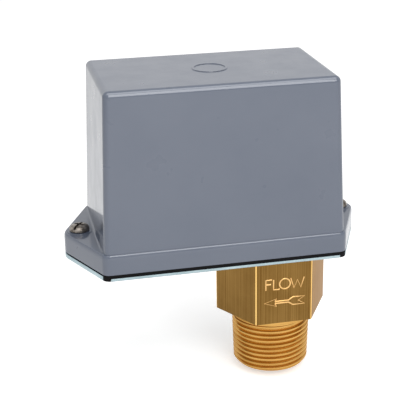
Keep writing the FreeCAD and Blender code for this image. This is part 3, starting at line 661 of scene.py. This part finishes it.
def make_ridge(low, high, radius, pitch, depth, slope=0, steps=28, crest=0.22):
    """A ridge between two heights in mm, its crest at a radius that the slope makes grow."""
    start, end = low - pitch, high + pitch
    middle = radius - depth * (1 + SUNK) / 2
    mesh = run_tree(thread_tree, {
        "Turns": (end - start) / pitch, "Height": (end - start) * MM, "Steps": steps,
        "Start radius": (middle + start * slope) * MM, "End radius": (middle + end * slope) * MM,
        "Depth": depth * (1 + SUNK) * MM, "Root": pitch * ROOT_SHARE * MM, "Crest": pitch * crest * MM,
        "Material": finishes["stainless"]})
    built = as_bmesh(mesh)
    bmesh.ops.translate(built, verts=built.verts, vec=(0, 0, start * MM))
    built = keep_between(built, low, high)
    bmesh.ops.recalc_face_normals(built, faces=built.faces)
    return built


print("thread helper ready")

# %% [markdown]
# ## Turned shapes
#
# Round parts come off a lathe: a profile of radius and height, turned about an
# upright axis. A profile that starts and ends on the axis closes itself, and one that
# goes round a bore is joined end to end as a ring.

# %% Lathe
def lathe(profile, segments=64, ring=False):
    """Turn (radius, height) corners in mm about the Z axis. A ring profile joins its ends."""
    built = bmesh.new()
    turns = [2 * math.pi * k / segments for k in range(segments)]
    rows = []
    for radius, height in profile:
        if radius:
            rows.append([built.verts.new(Vector((radius * math.cos(a), radius * math.sin(a), height)) * MM)
                         for a in turns])
        else:
            rows.append([built.verts.new((0, 0, height * MM))] * segments)
    followers = rows[1:] + rows[:1] if ring else rows[1:]
    for lower, upper in zip(rows, followers):
        for k in range(segments):
            corners = dict.fromkeys((lower[k - 1], lower[k], upper[k], upper[k - 1]))
            if len(corners) > 2:
                built.faces.new(list(corners))
    bmesh.ops.recalc_face_normals(built, faces=built.faces)
    return built


print("lathe ready")

# %% [markdown]
# ## The brass body: threaded stem
#
# Below the hexagon a short band is turned plain, and the pipe thread runs from there
# to the end, growing by one part in thirty-two so that it tightens in its socket. The
# crests are then drawn in to the chamfer that leads the thread into its socket.

# %% Stem and pipe thread
PITCH = 25.4 / 11.5
THREAD_DEPTH = 1.0
END_RADIUS = 16.15
PIPE_RADIUS = 16.7
BORE_RADIUS = 11.05
TAPER = 1 / 32
CHAMFER = 1.2
BAND_HEIGHT = 4.0
HIDDEN = 0.6
THREAD_STEPS = 120
THREAD_CREST = 0.34
band_bottom = hex_bottom - BAND_HEIGHT


def crest_radius(z):
    """Over the crests at a height: the end chamfer, the taper, then the pipe's own size."""
    return min(END_RADIUS - CHAMFER + z, END_RADIUS + z * TAPER, PIPE_RADIUS)


def root_radius(z):
    return min(crest_radius(z), END_RADIUS + z * TAPER - THREAD_DEPTH)


def make_stem():
    """A tube of the thread's root size under a plain band, its top hidden in the hexagon."""
    profile = [(BORE_RADIUS, 0), (root_radius(0) - 0.1, 0), (root_radius(0.2), 0.2),
               (root_radius(band_bottom), band_bottom), (PIPE_RADIUS, band_bottom + 0.15),
               (PIPE_RADIUS, hex_bottom + HIDDEN), (BORE_RADIUS, hex_bottom + HIDDEN)]
    return as_mesh(lathe(profile, THREAD_STEPS, ring=True))


def make_pipe_thread():
    built = make_ridge(0.02, band_bottom + 0.1, END_RADIUS, PITCH, THREAD_DEPTH, TAPER, THREAD_STEPS,
                       THREAD_CREST)
    for vert in built.verts:
        radius = vert.co.xy.length / MM
        limit = crest_radius(vert.co.z / MM)
        if radius > limit:
            vert.co.xy *= limit / radius
    return as_mesh(built)


add_piece("brass_stem", make_stem(), "brass", "brass_body", ["brass_body"])
add_piece("pipe_thread", make_pipe_thread(), "brass", "brass_body", ["brass_body"], sharp=25)

# %% [markdown]
# ## Beads along strokes
#
# Lettering and wound wire are both a round section that follows a line. One tree
# turns every edge of a mesh into such a bead, and it serves the marking on the
# hexagon now and the spring later.

# %% Bead tree
def make_bead_tree():
    """A thin bead along every edge of the mesh that the tree runs on."""
    tree, graph, size = new_tree("stroke_bead", {
        "Strokes": "Geometry", "Radius": "Float", "Sides": "Int", "Material": "Material"})
    path = graph.node("GeometryNodeMeshToCurve", None, {"Mesh": size["Strokes"]})
    section = graph.node("GeometryNodeCurvePrimitiveCircle", None, {
        "Resolution": size["Sides"], "Radius": size["Radius"]})
    swept = graph.node("GeometryNodeCurveToMesh", None, {
        "Curve": path, "Profile Curve": section, "Fill Caps": True})
    end_tree(graph, swept, size["Material"])
    return tree


def join_up(built, verts):
    """An edge from each point to the next."""
    for pair in zip(verts, verts[1:]):
        built.edges.new(pair)


bead_tree = make_bead_tree()
print("bead tree ready")

# %% [markdown]
# ## Flow marking
#
# One flat of the hexagon carries the word FLOW and an arrow that points the way the
# liquid goes. They are drawn as single strokes, the way an engraving tool runs. A
# tree turns each stroke into a thin bead, half sunk in the face.

# %% Strokes
STROKE = 0.29
CAP = 4.6
PRESSED = 0.35
BEAD_SIDES = 8
word_level = hex_bottom + 15.5
arrow_level = hex_bottom + 9.6


def circle(x, z, radius, steps=28):
    """Points round a circle, back to the first."""
    turns = [2 * math.pi * k / steps for k in range(steps + 1)]
    return [(x + radius * math.cos(a), z + radius * math.sin(a)) for a in turns]


word_strokes = [
    [(-5.3, CAP), (-7.8, CAP), (-7.8, 0)], [(-7.8, 0.55 * CAP), (-5.6, 0.55 * CAP)],
    [(-4.5, CAP), (-4.5, 0), (-1.9, 0)],
    circle(0.4, CAP / 2, CAP / 2),
    [(2.9, CAP), (4.3, 0), (5.8, 0.8 * CAP), (7.3, 0), (8.7, CAP)]]
arrow_strokes = [
    [(-3.9, 0.5), (-3.2, 1.75), (-8.5, 0), (-3.2, -1.75), (-3.9, -0.5)],
    [(-3.9, 0.45), (2.0, 0.45), (3.9, 1.75), (9.0, 1.75), (6.2, 0), (9.0, -1.75), (3.9, -1.75),
     (2.0, -0.45), (-3.9, -0.45)]]
print(len(word_strokes), "strokes in the word,", len(arrow_strokes), "in the arrow")

# %% [markdown]
# ## Pressing the marking on
#
# The strokes lie in the plane of the front flat. Their beads are pressed to about a
# third of their depth, which gives a low, soft-edged relief like a rolled mark. Their
# brass is much lighter than the bar's, a painted highlight.

# %% Flow marking
def make_marking(strokes, level):
    """Beads along (x, z) strokes on the front flat, pressed nearly flush with it."""
    built = bmesh.new()
    for stroke in strokes:
        join_up(built, [built.verts.new(Vector((x, 0, level + z)) * MM) for x, z in stroke])
    mesh = run_tree(bead_tree, {"Radius": STROKE * MM, "Sides": BEAD_SIDES,
                                "Material": finishes["marking_brass"]}, as_mesh(built))
    flush = Matrix.Translation((0, -hex_half_flats * MM, 0)) @ Matrix.Scale(PRESSED, 4, (0, 1, 0))
    mesh.transform(flush)
    return mesh


add_piece("flow_word", make_marking(word_strokes, word_level), "marking_brass", "brass_body")
add_piece("flow_arrow", make_marking(arrow_strokes, arrow_level), "marking_brass", "brass_body")

# %% [markdown]
# ## Repeating a part
#
# Equal screws are one shape set down at several points. A tree puts an instance of
# the shape on every vertex of a small mesh and gives each its own random turn from a
# fixed seed, so that their slots don't line up, as on a part put together by hand.

# %% Repeat helper
def make_repeat_tree():
    """An object on every point, each with its own turn about the upright axis."""
    tree, graph, size = new_tree("repeat_on_points", {
        "Points": "Geometry", "Part": "Object", "Largest turn": "Float", "Seed": "Int",
        "Material": "Material"})
    part = graph.outputs("GeometryNodeObjectInfo", {"Object": size["Part"]})["Geometry"]
    turn = graph.node("FunctionNodeRandomValue", {"data_type": "FLOAT"}, {
        3: size["Largest turn"], "Seed": size["Seed"]}, 1)
    upright = graph.node("ShaderNodeCombineXYZ", None, {"Z": turn})
    placed = graph.node("GeometryNodeInstanceOnPoints", None, {
        "Points": size["Points"], "Instance": part, "Rotation": upright})
    end_tree(graph, placed, size["Material"])
    return tree


repeat_tree = make_repeat_tree()


def repeated(built, places, finish, largest_turn, seed):
    """The shape at each (x, y) place in mm."""
    part = add_object("part", as_mesh(built))
    points = bmesh.new()
    for x, y in places:
        points.verts.new((x * MM, y * MM, 0))
    mesh = run_tree(repeat_tree, {"Part": part, "Largest turn": math.radians(largest_turn), "Seed": seed,
                                  "Material": finishes[finish]}, as_mesh(points))
    bpy.data.objects.remove(part)
    return mesh


print("repeat helper ready")

# %% [markdown]
# ## Slots and recesses
#
# A slot or a cross recess is a cut, so a boolean takes a brick out of the closed
# head, as a cutter would. The cutter reaches past the head, so that no two faces
# coincide.

# %% Cuts
def brick(x, y, z):
    """Box between pairs of limits in mm."""
    size = [Matrix.Scale((high - low) * MM, 4, axis)
            for (low, high), axis in zip((x, y, z), Matrix.Identity(3))]
    middle = Vector([(low + high) / 2 * MM for low, high in (x, y, z)])
    built = bmesh.new()
    bmesh.ops.create_cube(built, size=1.0, matrix=Matrix.Translation(middle) @ size[0] @ size[1] @ size[2])
    return built


def carve(built, tool):
    """One closed shape with another cut out of it."""
    worked = add_object("worked", as_mesh(built))
    cutter = add_object("cutter", as_mesh(tool))
    modifier = worked.modifiers.new("cut", "BOOLEAN")
    modifier.operation = "DIFFERENCE"
    modifier.object = cutter
    mesh = settle(worked)
    bpy.data.objects.remove(cutter)
    return as_bmesh(mesh)


print("cuts ready")

# %% [markdown]
# ## Cover screws
#
# Two pan-head screws hold the cover. The head is a flattened dome, so its profile is
# a squared-off quarter circle, and its recess takes either a flat blade or a cross
# blade. The shank's thread shows only when the cover is lifted, but then it is in
# plain view.

# %% Cover screws
HEAD_SIDE = 0.28
DOME_POWER = 0.62
DOME_RISE = 0.9
SCREW_SHANK = 2.05
SCREW_THREAD = 0.4
SCREW_PITCH = 0.7
SCREW_POINT = 0.5
NECK = 1
RECESS_HALF = 0.55
SLOT_DEPTH = 1.15
CROSS_DEPTH = 1.5
CROSS_REACH = 2.2


def dome(radius, low, high):
    """Quarter of a squared-off circle from the side to the middle of the top."""
    steps = [math.radians(10 * k) for k in range(9)]
    curve = [(radius * math.cos(a) ** DOME_POWER, low + (high - low) * math.sin(a) ** DOME_RISE)
             for a in steps]
    return curve + [(0, high)]


def make_pan_screw():
    head, seat = screws_high.y, cover_seat
    tip, top = screws_low.z, screws_high.z
    side = seat + HEAD_SIDE * (top - seat)
    root = SCREW_SHANK - SCREW_THREAD
    shank = [(0, tip), (root - SCREW_POINT, tip), (root, tip + SCREW_POINT), (root, seat - NECK),
             (SCREW_SHANK, seat - 0.7), (SCREW_SHANK, seat)]
    rim = [(head - 0.25, seat), (head, seat + 0.3)]
    built = lathe(shank + rim + dome(head, side, top), 72)
    across, along = (-RECESS_HALF, RECESS_HALF), (-CROSS_REACH, CROSS_REACH)
    built = carve(built, brick((-head, head), across, (top - SLOT_DEPTH, top + 1)))
    built = carve(built, brick(across, along, (top - CROSS_DEPTH, top + 1)))
    ridge = make_ridge(tip + SCREW_POINT, seat - NECK, SCREW_SHANK, SCREW_PITCH, SCREW_THREAD)
    return together(built, ridge)


pan_screws = repeated(make_pan_screw(), cover_screw_places, "stainless", 75, 4)
add_piece("pan_screws", pan_screws, "stainless", "cover_screws", ["cover_screws"])

# %% [markdown]
# ## Terminal screws
#
# Each terminal has a cheese-head screw over a cup washer, whose upturned rim keeps
# the wire under the head. Both are turned, so they come off the lathe together.

# %% Terminal screws
TERMINAL_HEAD = 3.2
TERMINAL_SHANK = 1.7
CUP_RADIUS = 3.9
CUP_FLARE = 0.2
CUP_HEIGHT = 1.1
CUP_FLOOR = 0.5
CUP_PLAY = 0.1
HEAD_ROUND = 0.35
HEAD_ROUND_MIDDLE = 0.12
TERMINAL_SLOT_HALF = 0.45
TERMINAL_SLOT_DEPTH = 0.9


def make_cup_washer(seat):
    hole, rim, floor = TERMINAL_SHANK + CUP_PLAY, seat + CUP_HEIGHT, seat + CUP_FLOOR
    profile = [(hole, seat), (CUP_RADIUS, seat), (CUP_RADIUS + CUP_FLARE, rim),
               (CUP_RADIUS - CUP_FLARE, rim), (CUP_RADIUS - 2 * CUP_FLARE, floor), (hole, floor)]
    return lathe(profile, 56, ring=True)


def make_terminal_screw(under, top, tip):
    head, shank = TERMINAL_HEAD, TERMINAL_SHANK
    profile = [(0, tip), (shank, tip), (shank, under), (head - 0.1, under), (head, under + 0.1),
               (head, top - HEAD_ROUND), (head - HEAD_ROUND_MIDDLE, top - HEAD_ROUND_MIDDLE),
               (head - HEAD_ROUND, top), (0, top)]
    across = (-TERMINAL_SLOT_HALF, TERMINAL_SLOT_HALF)
    slot = brick((-head, head), across, (top - TERMINAL_SLOT_DEPTH, top + 1))
    return carve(lathe(profile, 56), slot)


terminals = [span(node) for node in ("open_terminal", "common_terminal", "closed_terminal")]
terminal_places = [((low.x + high.x) / 2, (low.y + high.y) / 2) for low, high in terminals]
terminal_top = terminals[0][1].z
shanks_low, heads_high = span("terminal_screws")
terminal_screw = make_terminal_screw(terminal_top + CUP_FLOOR + 0.02, heads_high.z, shanks_low.z)
terminal_set = together(make_cup_washer(terminal_top), terminal_screw)
terminal_screws = repeated(terminal_set, terminal_places, "zinc_steel", 150, 7)
add_piece("terminal_screws_with_cups", terminal_screws, "zinc_steel", "terminal_screws",
          ["terminal_screws"])

# %% [markdown]
# ## Range spring: winding
#
# The spring is wound from round wire, with a closed turn at each end that is ground
# flat. Its path comes from one formula, and the bead tree gives it its thickness.

# %% Winding the spring
SPRING_TURNS = 5
SPRING_WIRE = 0.9
SPRING_STEPS = 32
WIRE_SIDES = 12
CLOSED_PITCH = 1.03
spring_low, spring_high = span("range_spring")
spring_middle = (spring_low + spring_high) / 2


def make_spring():
    """Round wire along the coil, its two ends ground flat."""
    wire_middle = (spring_high.x - spring_low.x - SPRING_WIRE) / 2
    closed_climb = SPRING_WIRE * CLOSED_PITCH
    open_climb = (spring_high.z - spring_low.z - 2 * closed_climb) / SPRING_TURNS
    built = bmesh.new()
    for step in range((SPRING_TURNS + 2) * SPRING_STEPS + 1):
        turn = step / SPRING_STEPS
        opened = min(max(turn - 1, 0), SPRING_TURNS)
        level = spring_low.z + closed_climb * (turn - opened) + open_climb * opened
        angle = 2 * math.pi * turn
        built.verts.new(Vector((spring_middle.x + wire_middle * math.cos(angle),
                                wire_middle * math.sin(angle), level)) * MM)
    join_up(built, list(built.verts))
    return run_tree(bead_tree, {"Radius": SPRING_WIRE / 2 * MM, "Sides": WIRE_SIDES,
                                "Material": finishes["spring_steel"]}, as_mesh(built))


print("spring helper ready")

# %% [markdown]
# ## Range spring: two halves
#
# Two motions press the spring: the nut plate comes down on its upper end, and the arm
# rises under its lower end. A mesh can follow only one of them, so the coil is cut
# level at mid-height. The upper half rides with the spring's body, and the lower half
# is fixed in place.


def coil_part(low, high):
    """What the wound spring has between two levels in mm."""
    built = as_bmesh(coil)
    bmesh.ops.recalc_face_normals(built, faces=built.faces)
    return as_mesh(keep_between(built, low, high))


coil = make_spring()
upper_coil = add_piece("range_spring_upper", coil_part(spring_middle.z, spring_high.z), "spring_steel",
                       "range_spring", ["range_spring"])
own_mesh(upper_coil)
lower_coil = add_piece("range_spring_lower", coil_part(spring_low.z, spring_middle.z), "spring_steel",
                       "range_spring", ["range_spring"], rides=False)
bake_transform(lower_coil)

# %% [markdown]
# ## Bellows
#
# The lever leaves the wet side through a bronze bellows, which bends with it and lets
# nothing past. Its folds are a wave turned round the axis, and its thin wall is the
# same wave again a little further in. Its mesh is fixed in place and rides on no body.

# %% Bellows
WALL = 0.3
FOLDS = 4
FOLD_STEPS = 16
FOLD_DEPTH = 2.5
bellows_low, bellows_high = span("seal_bellows")
fixed_end = span("sealing_ring")[0].z
moving_end = span("bellows_cap")[1].z


def make_bellows():
    """A thin wall whose radius waves with the height."""
    neck = bellows_high.x - FOLD_DEPTH
    count = FOLDS * FOLD_STEPS
    wave = [(neck, bellows_low.z)]
    for k in range(count + 1):
        swell = math.sin(math.pi * k / FOLD_STEPS) ** 2
        wave.append((neck + FOLD_DEPTH * swell, moving_end + (fixed_end - moving_end) * k / count))
    wave.append((neck, bellows_high.z))
    inside = [(radius - WALL, level) for radius, level in reversed(wave)]
    return as_mesh(lathe(wave + inside, 72, ring=True))


bellows = add_piece("folded_bellows", make_bellows(), "bronze", "seal_bellows", ["seal_bellows"],
                    rides=False)
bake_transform(bellows)

# %% [markdown]
# ## Range screw
#
# It is set with a screwdriver from above and turns in the bracket under its slotted
# head, held by a collar. Its thread drives the nut plate that presses the spring.

# %% Range screw
RANGE_HEAD = 2.6
RANGE_SHANK = 2.0
RANGE_THREAD = 0.42
RANGE_PITCH = 0.794
COLLAR_RADIUS = 3.3
COLLAR_DROP = 1.6
COLLAR_HEIGHT = 0.8
NUT_PLAY = 0.6
RANGE_TURN = 20


def turned(built, angle, axis, place=(0, 0, 0)):
    """The shape turned by an angle in degrees and moved to a place in mm."""
    matrix = Matrix.Translation(Vector(place) * MM) @ Matrix.Rotation(math.radians(angle), 4, axis)
    bmesh.ops.transform(built, matrix=matrix, verts=built.verts)
    return built


def make_range_screw():
    low, high = span("range_screw")
    middle, under = (low.x + high.x) / 2, high.z - RANGE_HEAD
    head, root, shank = high.x - middle, RANGE_SHANK - RANGE_THREAD, RANGE_SHANK
    collar_high = under - COLLAR_DROP
    collar_low = max(collar_high - COLLAR_HEIGHT, span("spring_seat")[1].z + NUT_PLAY)
    stem = [(0, low.z), (root - 0.4, low.z), (root, low.z + 0.4), (root, collar_low)]
    collar = [(COLLAR_RADIUS, collar_low), (COLLAR_RADIUS, collar_high), (shank, collar_high)]
    cap = [(shank, under), (head - 0.3, under), (head, under + 0.3), (head, high.z - 0.5),
           (head - 0.5, high.z), (0, high.z)]
    slot = brick((-head, head), (-RECESS_HALF, RECESS_HALF), (high.z - 1.2, high.z + 1))
    built = carve(lathe(stem + collar + cap, 64), slot)
    ridge = make_ridge(low.z + 0.4, collar_low, shank, RANGE_PITCH, RANGE_THREAD)
    return turned(together(built, ridge), RANGE_TURN, "Z", (middle, 0, 0))


range_screw = as_mesh(make_range_screw())
add_piece("range_screw_threaded", range_screw, "zinc_steel", "range_screw", ["range_screw"])

# %% [markdown]
# ## Trip screw
#
# A plain threaded rod stands in the end of the arm. It is set from below through a
# slot, and its rounded tip lifts the switch leaf.

# %% Trip screw
TRIP_THREAD = 0.4
TRIP_PITCH = 0.7
TRIP_CROWN = 0.8
TRIP_SLOT_HALF = 0.4
TRIP_SLOT_DEPTH = 1.2


def make_trip_screw():
    low, high = span("trip_screw")
    shank, crown_low = high.y, high.z - TRIP_CROWN
    root = shank - TRIP_THREAD
    foot = [(0, low.z), (root - 0.3, low.z), (root, low.z + 0.3)]
    built = lathe(foot + dome(root, crown_low, high.z), 48)
    slot = brick((-shank, shank), (-TRIP_SLOT_HALF, TRIP_SLOT_HALF), (low.z - 1, low.z + TRIP_SLOT_DEPTH))
    ridge = make_ridge(low.z + TRIP_SLOT_DEPTH + 0.1, crown_low, shank, TRIP_PITCH, TRIP_THREAD)
    return turned(together(carve(built, slot), ridge), 0, "Z", ((low.x + high.x) / 2, 0, 0))


trip_screw = as_mesh(make_trip_screw())
add_piece("trip_screw_threaded", trip_screw, "stainless", "trip_screw", ["trip_screw"])

# %% [markdown]
# ## The other machined and moulded pieces
#
# The remaining nodes already have their real shape, but their edges are knife-sharp
# and their triangles shade one by one. Each gets a merged copy with a small round on
# its edges, wide enough to catch a line of light: a tumbled or moulded edge.

# %% Pieces that keep their CAD shape
RIM_DROP = 0.4
edge_rounds = {
    "base_plate": 0.12, "cover_gasket": 0.2, "cover_nuts": 0.12, "body_screws": 0.15,
    "bellows_ferrule": 0.15, "sealing_ring": 0.15, "bellows_cap": 0.12, "paddle_lever": 0.15,
    "pivot_pin": 0.15, "pivot_spacers": 0.1, "switch_arm": 0.12, "arm_washer": 0.1, "arm_nut": 0.15,
    "trip_lock_nut": 0.12, "switch_case": 0.2, "switch_lid": 0.2, "switch_plunger": 0.15,
    "switch_leaf": 0.08, "leaf_pin": 0.1, "open_terminal": 0.12, "common_terminal": 0.12,
    "closed_terminal": 0.12, "switch_screws": 0.12, "switch_nuts": 0.12, "switch_bracket": 0.15,
    "insulating_sheet": 0.05, "bracket_screws": 0.12, "spring_seat": 0.12, "earth_screw": 0.15,
    "earth_washer": 0.1}


def lower_rims(built):
    """Take a little off the rims round the ears, so that the rubber shows above them."""
    for vert in built.verts:
        if vert.co.z / MM > plate_high.z - 0.01:
            vert.co.z -= RIM_DROP * MM


for node, width in edge_rounds.items():
    built = merged_copy(node)
    if node == "base_plate":
        lower_rims(built)
    add_piece(node + "_rounded", as_mesh(built), slots[node], node, [node], bevel=width)

# %% [markdown]
# ## Camera
#
# The camera stands a little to the left and looks slightly down through a long lens,
# which keeps the housing's edges nearly parallel. It is placed by its azimuth,
# elevation and distance from a target, and its frame is built from three directions.

# %% Camera
CAMERA = {"azimuth": 13.057, "elevation": 20.217, "roll": -0.605, "distance": 0.4691,
          "target": (-0.021371, 0.0, 0.079759), "lens": 97.36, "shift": (-0.0325, -0.0423)}


def add_camera():
    azimuth, elevation, roll = (math.radians(CAMERA[k]) for k in ("azimuth", "elevation", "roll"))
    back = Vector((-math.sin(azimuth) * math.cos(elevation), -math.cos(azimuth) * math.cos(elevation),
                   math.sin(elevation)))
    right = (-back).cross(Vector((0, 0, 1))).normalized()
    up = right.cross(-back)
    tilted_right = right * math.cos(roll) + up * math.sin(roll)
    tilted_up = up * math.cos(roll) - right * math.sin(roll)
    camera = add_object("camera", bpy.data.cameras.new("camera"))
    turn = Matrix((tilted_right, tilted_up, back)).transposed().to_4x4()
    camera.matrix_world = Matrix.Translation(Vector(CAMERA["target"]) + back * CAMERA["distance"]) @ turn
    camera.data.lens = CAMERA["lens"]
    camera.data.shift_x, camera.data.shift_y = CAMERA["shift"]
    camera.data.clip_start = 0.01
    bpy.context.scene.camera = camera


add_camera()
print("camera ready")

# %% [markdown]
# ## Surround and floor
#
# The studio is a white surround and a pale floor. Both show at full white to the
# camera and in reflections, but light the object at a lower level, so that colours
# come out about as written. The floor still takes the object's soft shadow.

# %% Surround and floor
FLOOR_RADIUS = 4.0
FLOOR_GAP = 0.2
SURROUND = 0.4
FLOOR_GLOW = 0.5


def seen_directly(graph):
    """1 for what the camera sees, straight or in a gloss or glass, and 0 for scattered light."""
    path = graph.outputs("ShaderNodeLightPath")
    seen = path["Is Camera Ray"].math("MAXIMUM", path["Is Camera Ray"], path["Is Glossy Ray"])
    return seen.math("MAXIMUM", seen, path["Is Transmission Ray"])


def add_world():
    world = bpy.data.worlds.new("studio")
    world.use_nodes = True
    bpy.context.scene.world = world
    graph = Graph(world.node_tree)
    background = world.node_tree.nodes["Background"]
    background.inputs["Color"].default_value = rgb(1, 1, 1)
    strength = seen_directly(graph) * (1 - SURROUND) + SURROUND
    world.node_tree.links.new(strength.link, background.inputs["Strength"])


def add_floor():
    built = bmesh.new()
    bmesh.ops.create_circle(built, cap_ends=True, segments=96, radius=FLOOR_RADIUS)
    mesh = as_mesh(built)
    mesh.transform(Matrix.Translation((0, 0, cad_low.z - FLOOR_GAP * MM)))
    floor = add_object("floor", mesh)
    finish = Finish("floor", Base_Color=rgb(0.9, 0.9, 0.9), Roughness=0.9)
    finish.shader.inputs["Emission Color"].default_value = rgb(1, 1, 1)
    finish.feed("Emission Strength", seen_directly(finish) * FLOOR_GLOW)
    mesh.materials.append(finish.material)


add_world()
add_floor()
print("surround and floor ready")

# %% [markdown]
# ## Lamps
#
# Three soft lamps do the work. A tall one in front, a little to the right, draws
# bright lines along the rounded edges, a small one stands high on the left, and a
# wide one overhead lifts the roof. Each is placed by its azimuth and elevation. The
# Standard view shows a colour as it is written.

# %% Lamps
middle = (cad_low + cad_high) / 2


def add_area(name, azimuth, elevation, width, height, power):
    """A lamp that faces the object from a metre away. Azimuth 0 is the front, right is positive."""
    turn, rise = math.radians(azimuth), math.radians(elevation)
    away = Vector((math.sin(turn) * math.cos(rise), -math.cos(turn) * math.cos(rise), math.sin(rise)))
    lamp = bpy.data.lights.new(name, "AREA")
    lamp.shape = "RECTANGLE"
    lamp.size, lamp.size_y = width, height
    lamp.energy = power
    obj = add_object(name, lamp)
    obj.location = middle + away
    obj.rotation_euler = (-away).to_track_quat("-Z", "Y").to_euler()


add_area("tall_lamp", 10, 36, 0.48, 0.7, 4.9)
add_area("high_lamp", -48, 40, 0.16, 0.16, 0.5)
add_area("overhead_lamp", 0, 75, 0.8, 0.5, 4.3)
bpy.context.scene.view_settings.view_transform = "Standard"
print("three lamps")
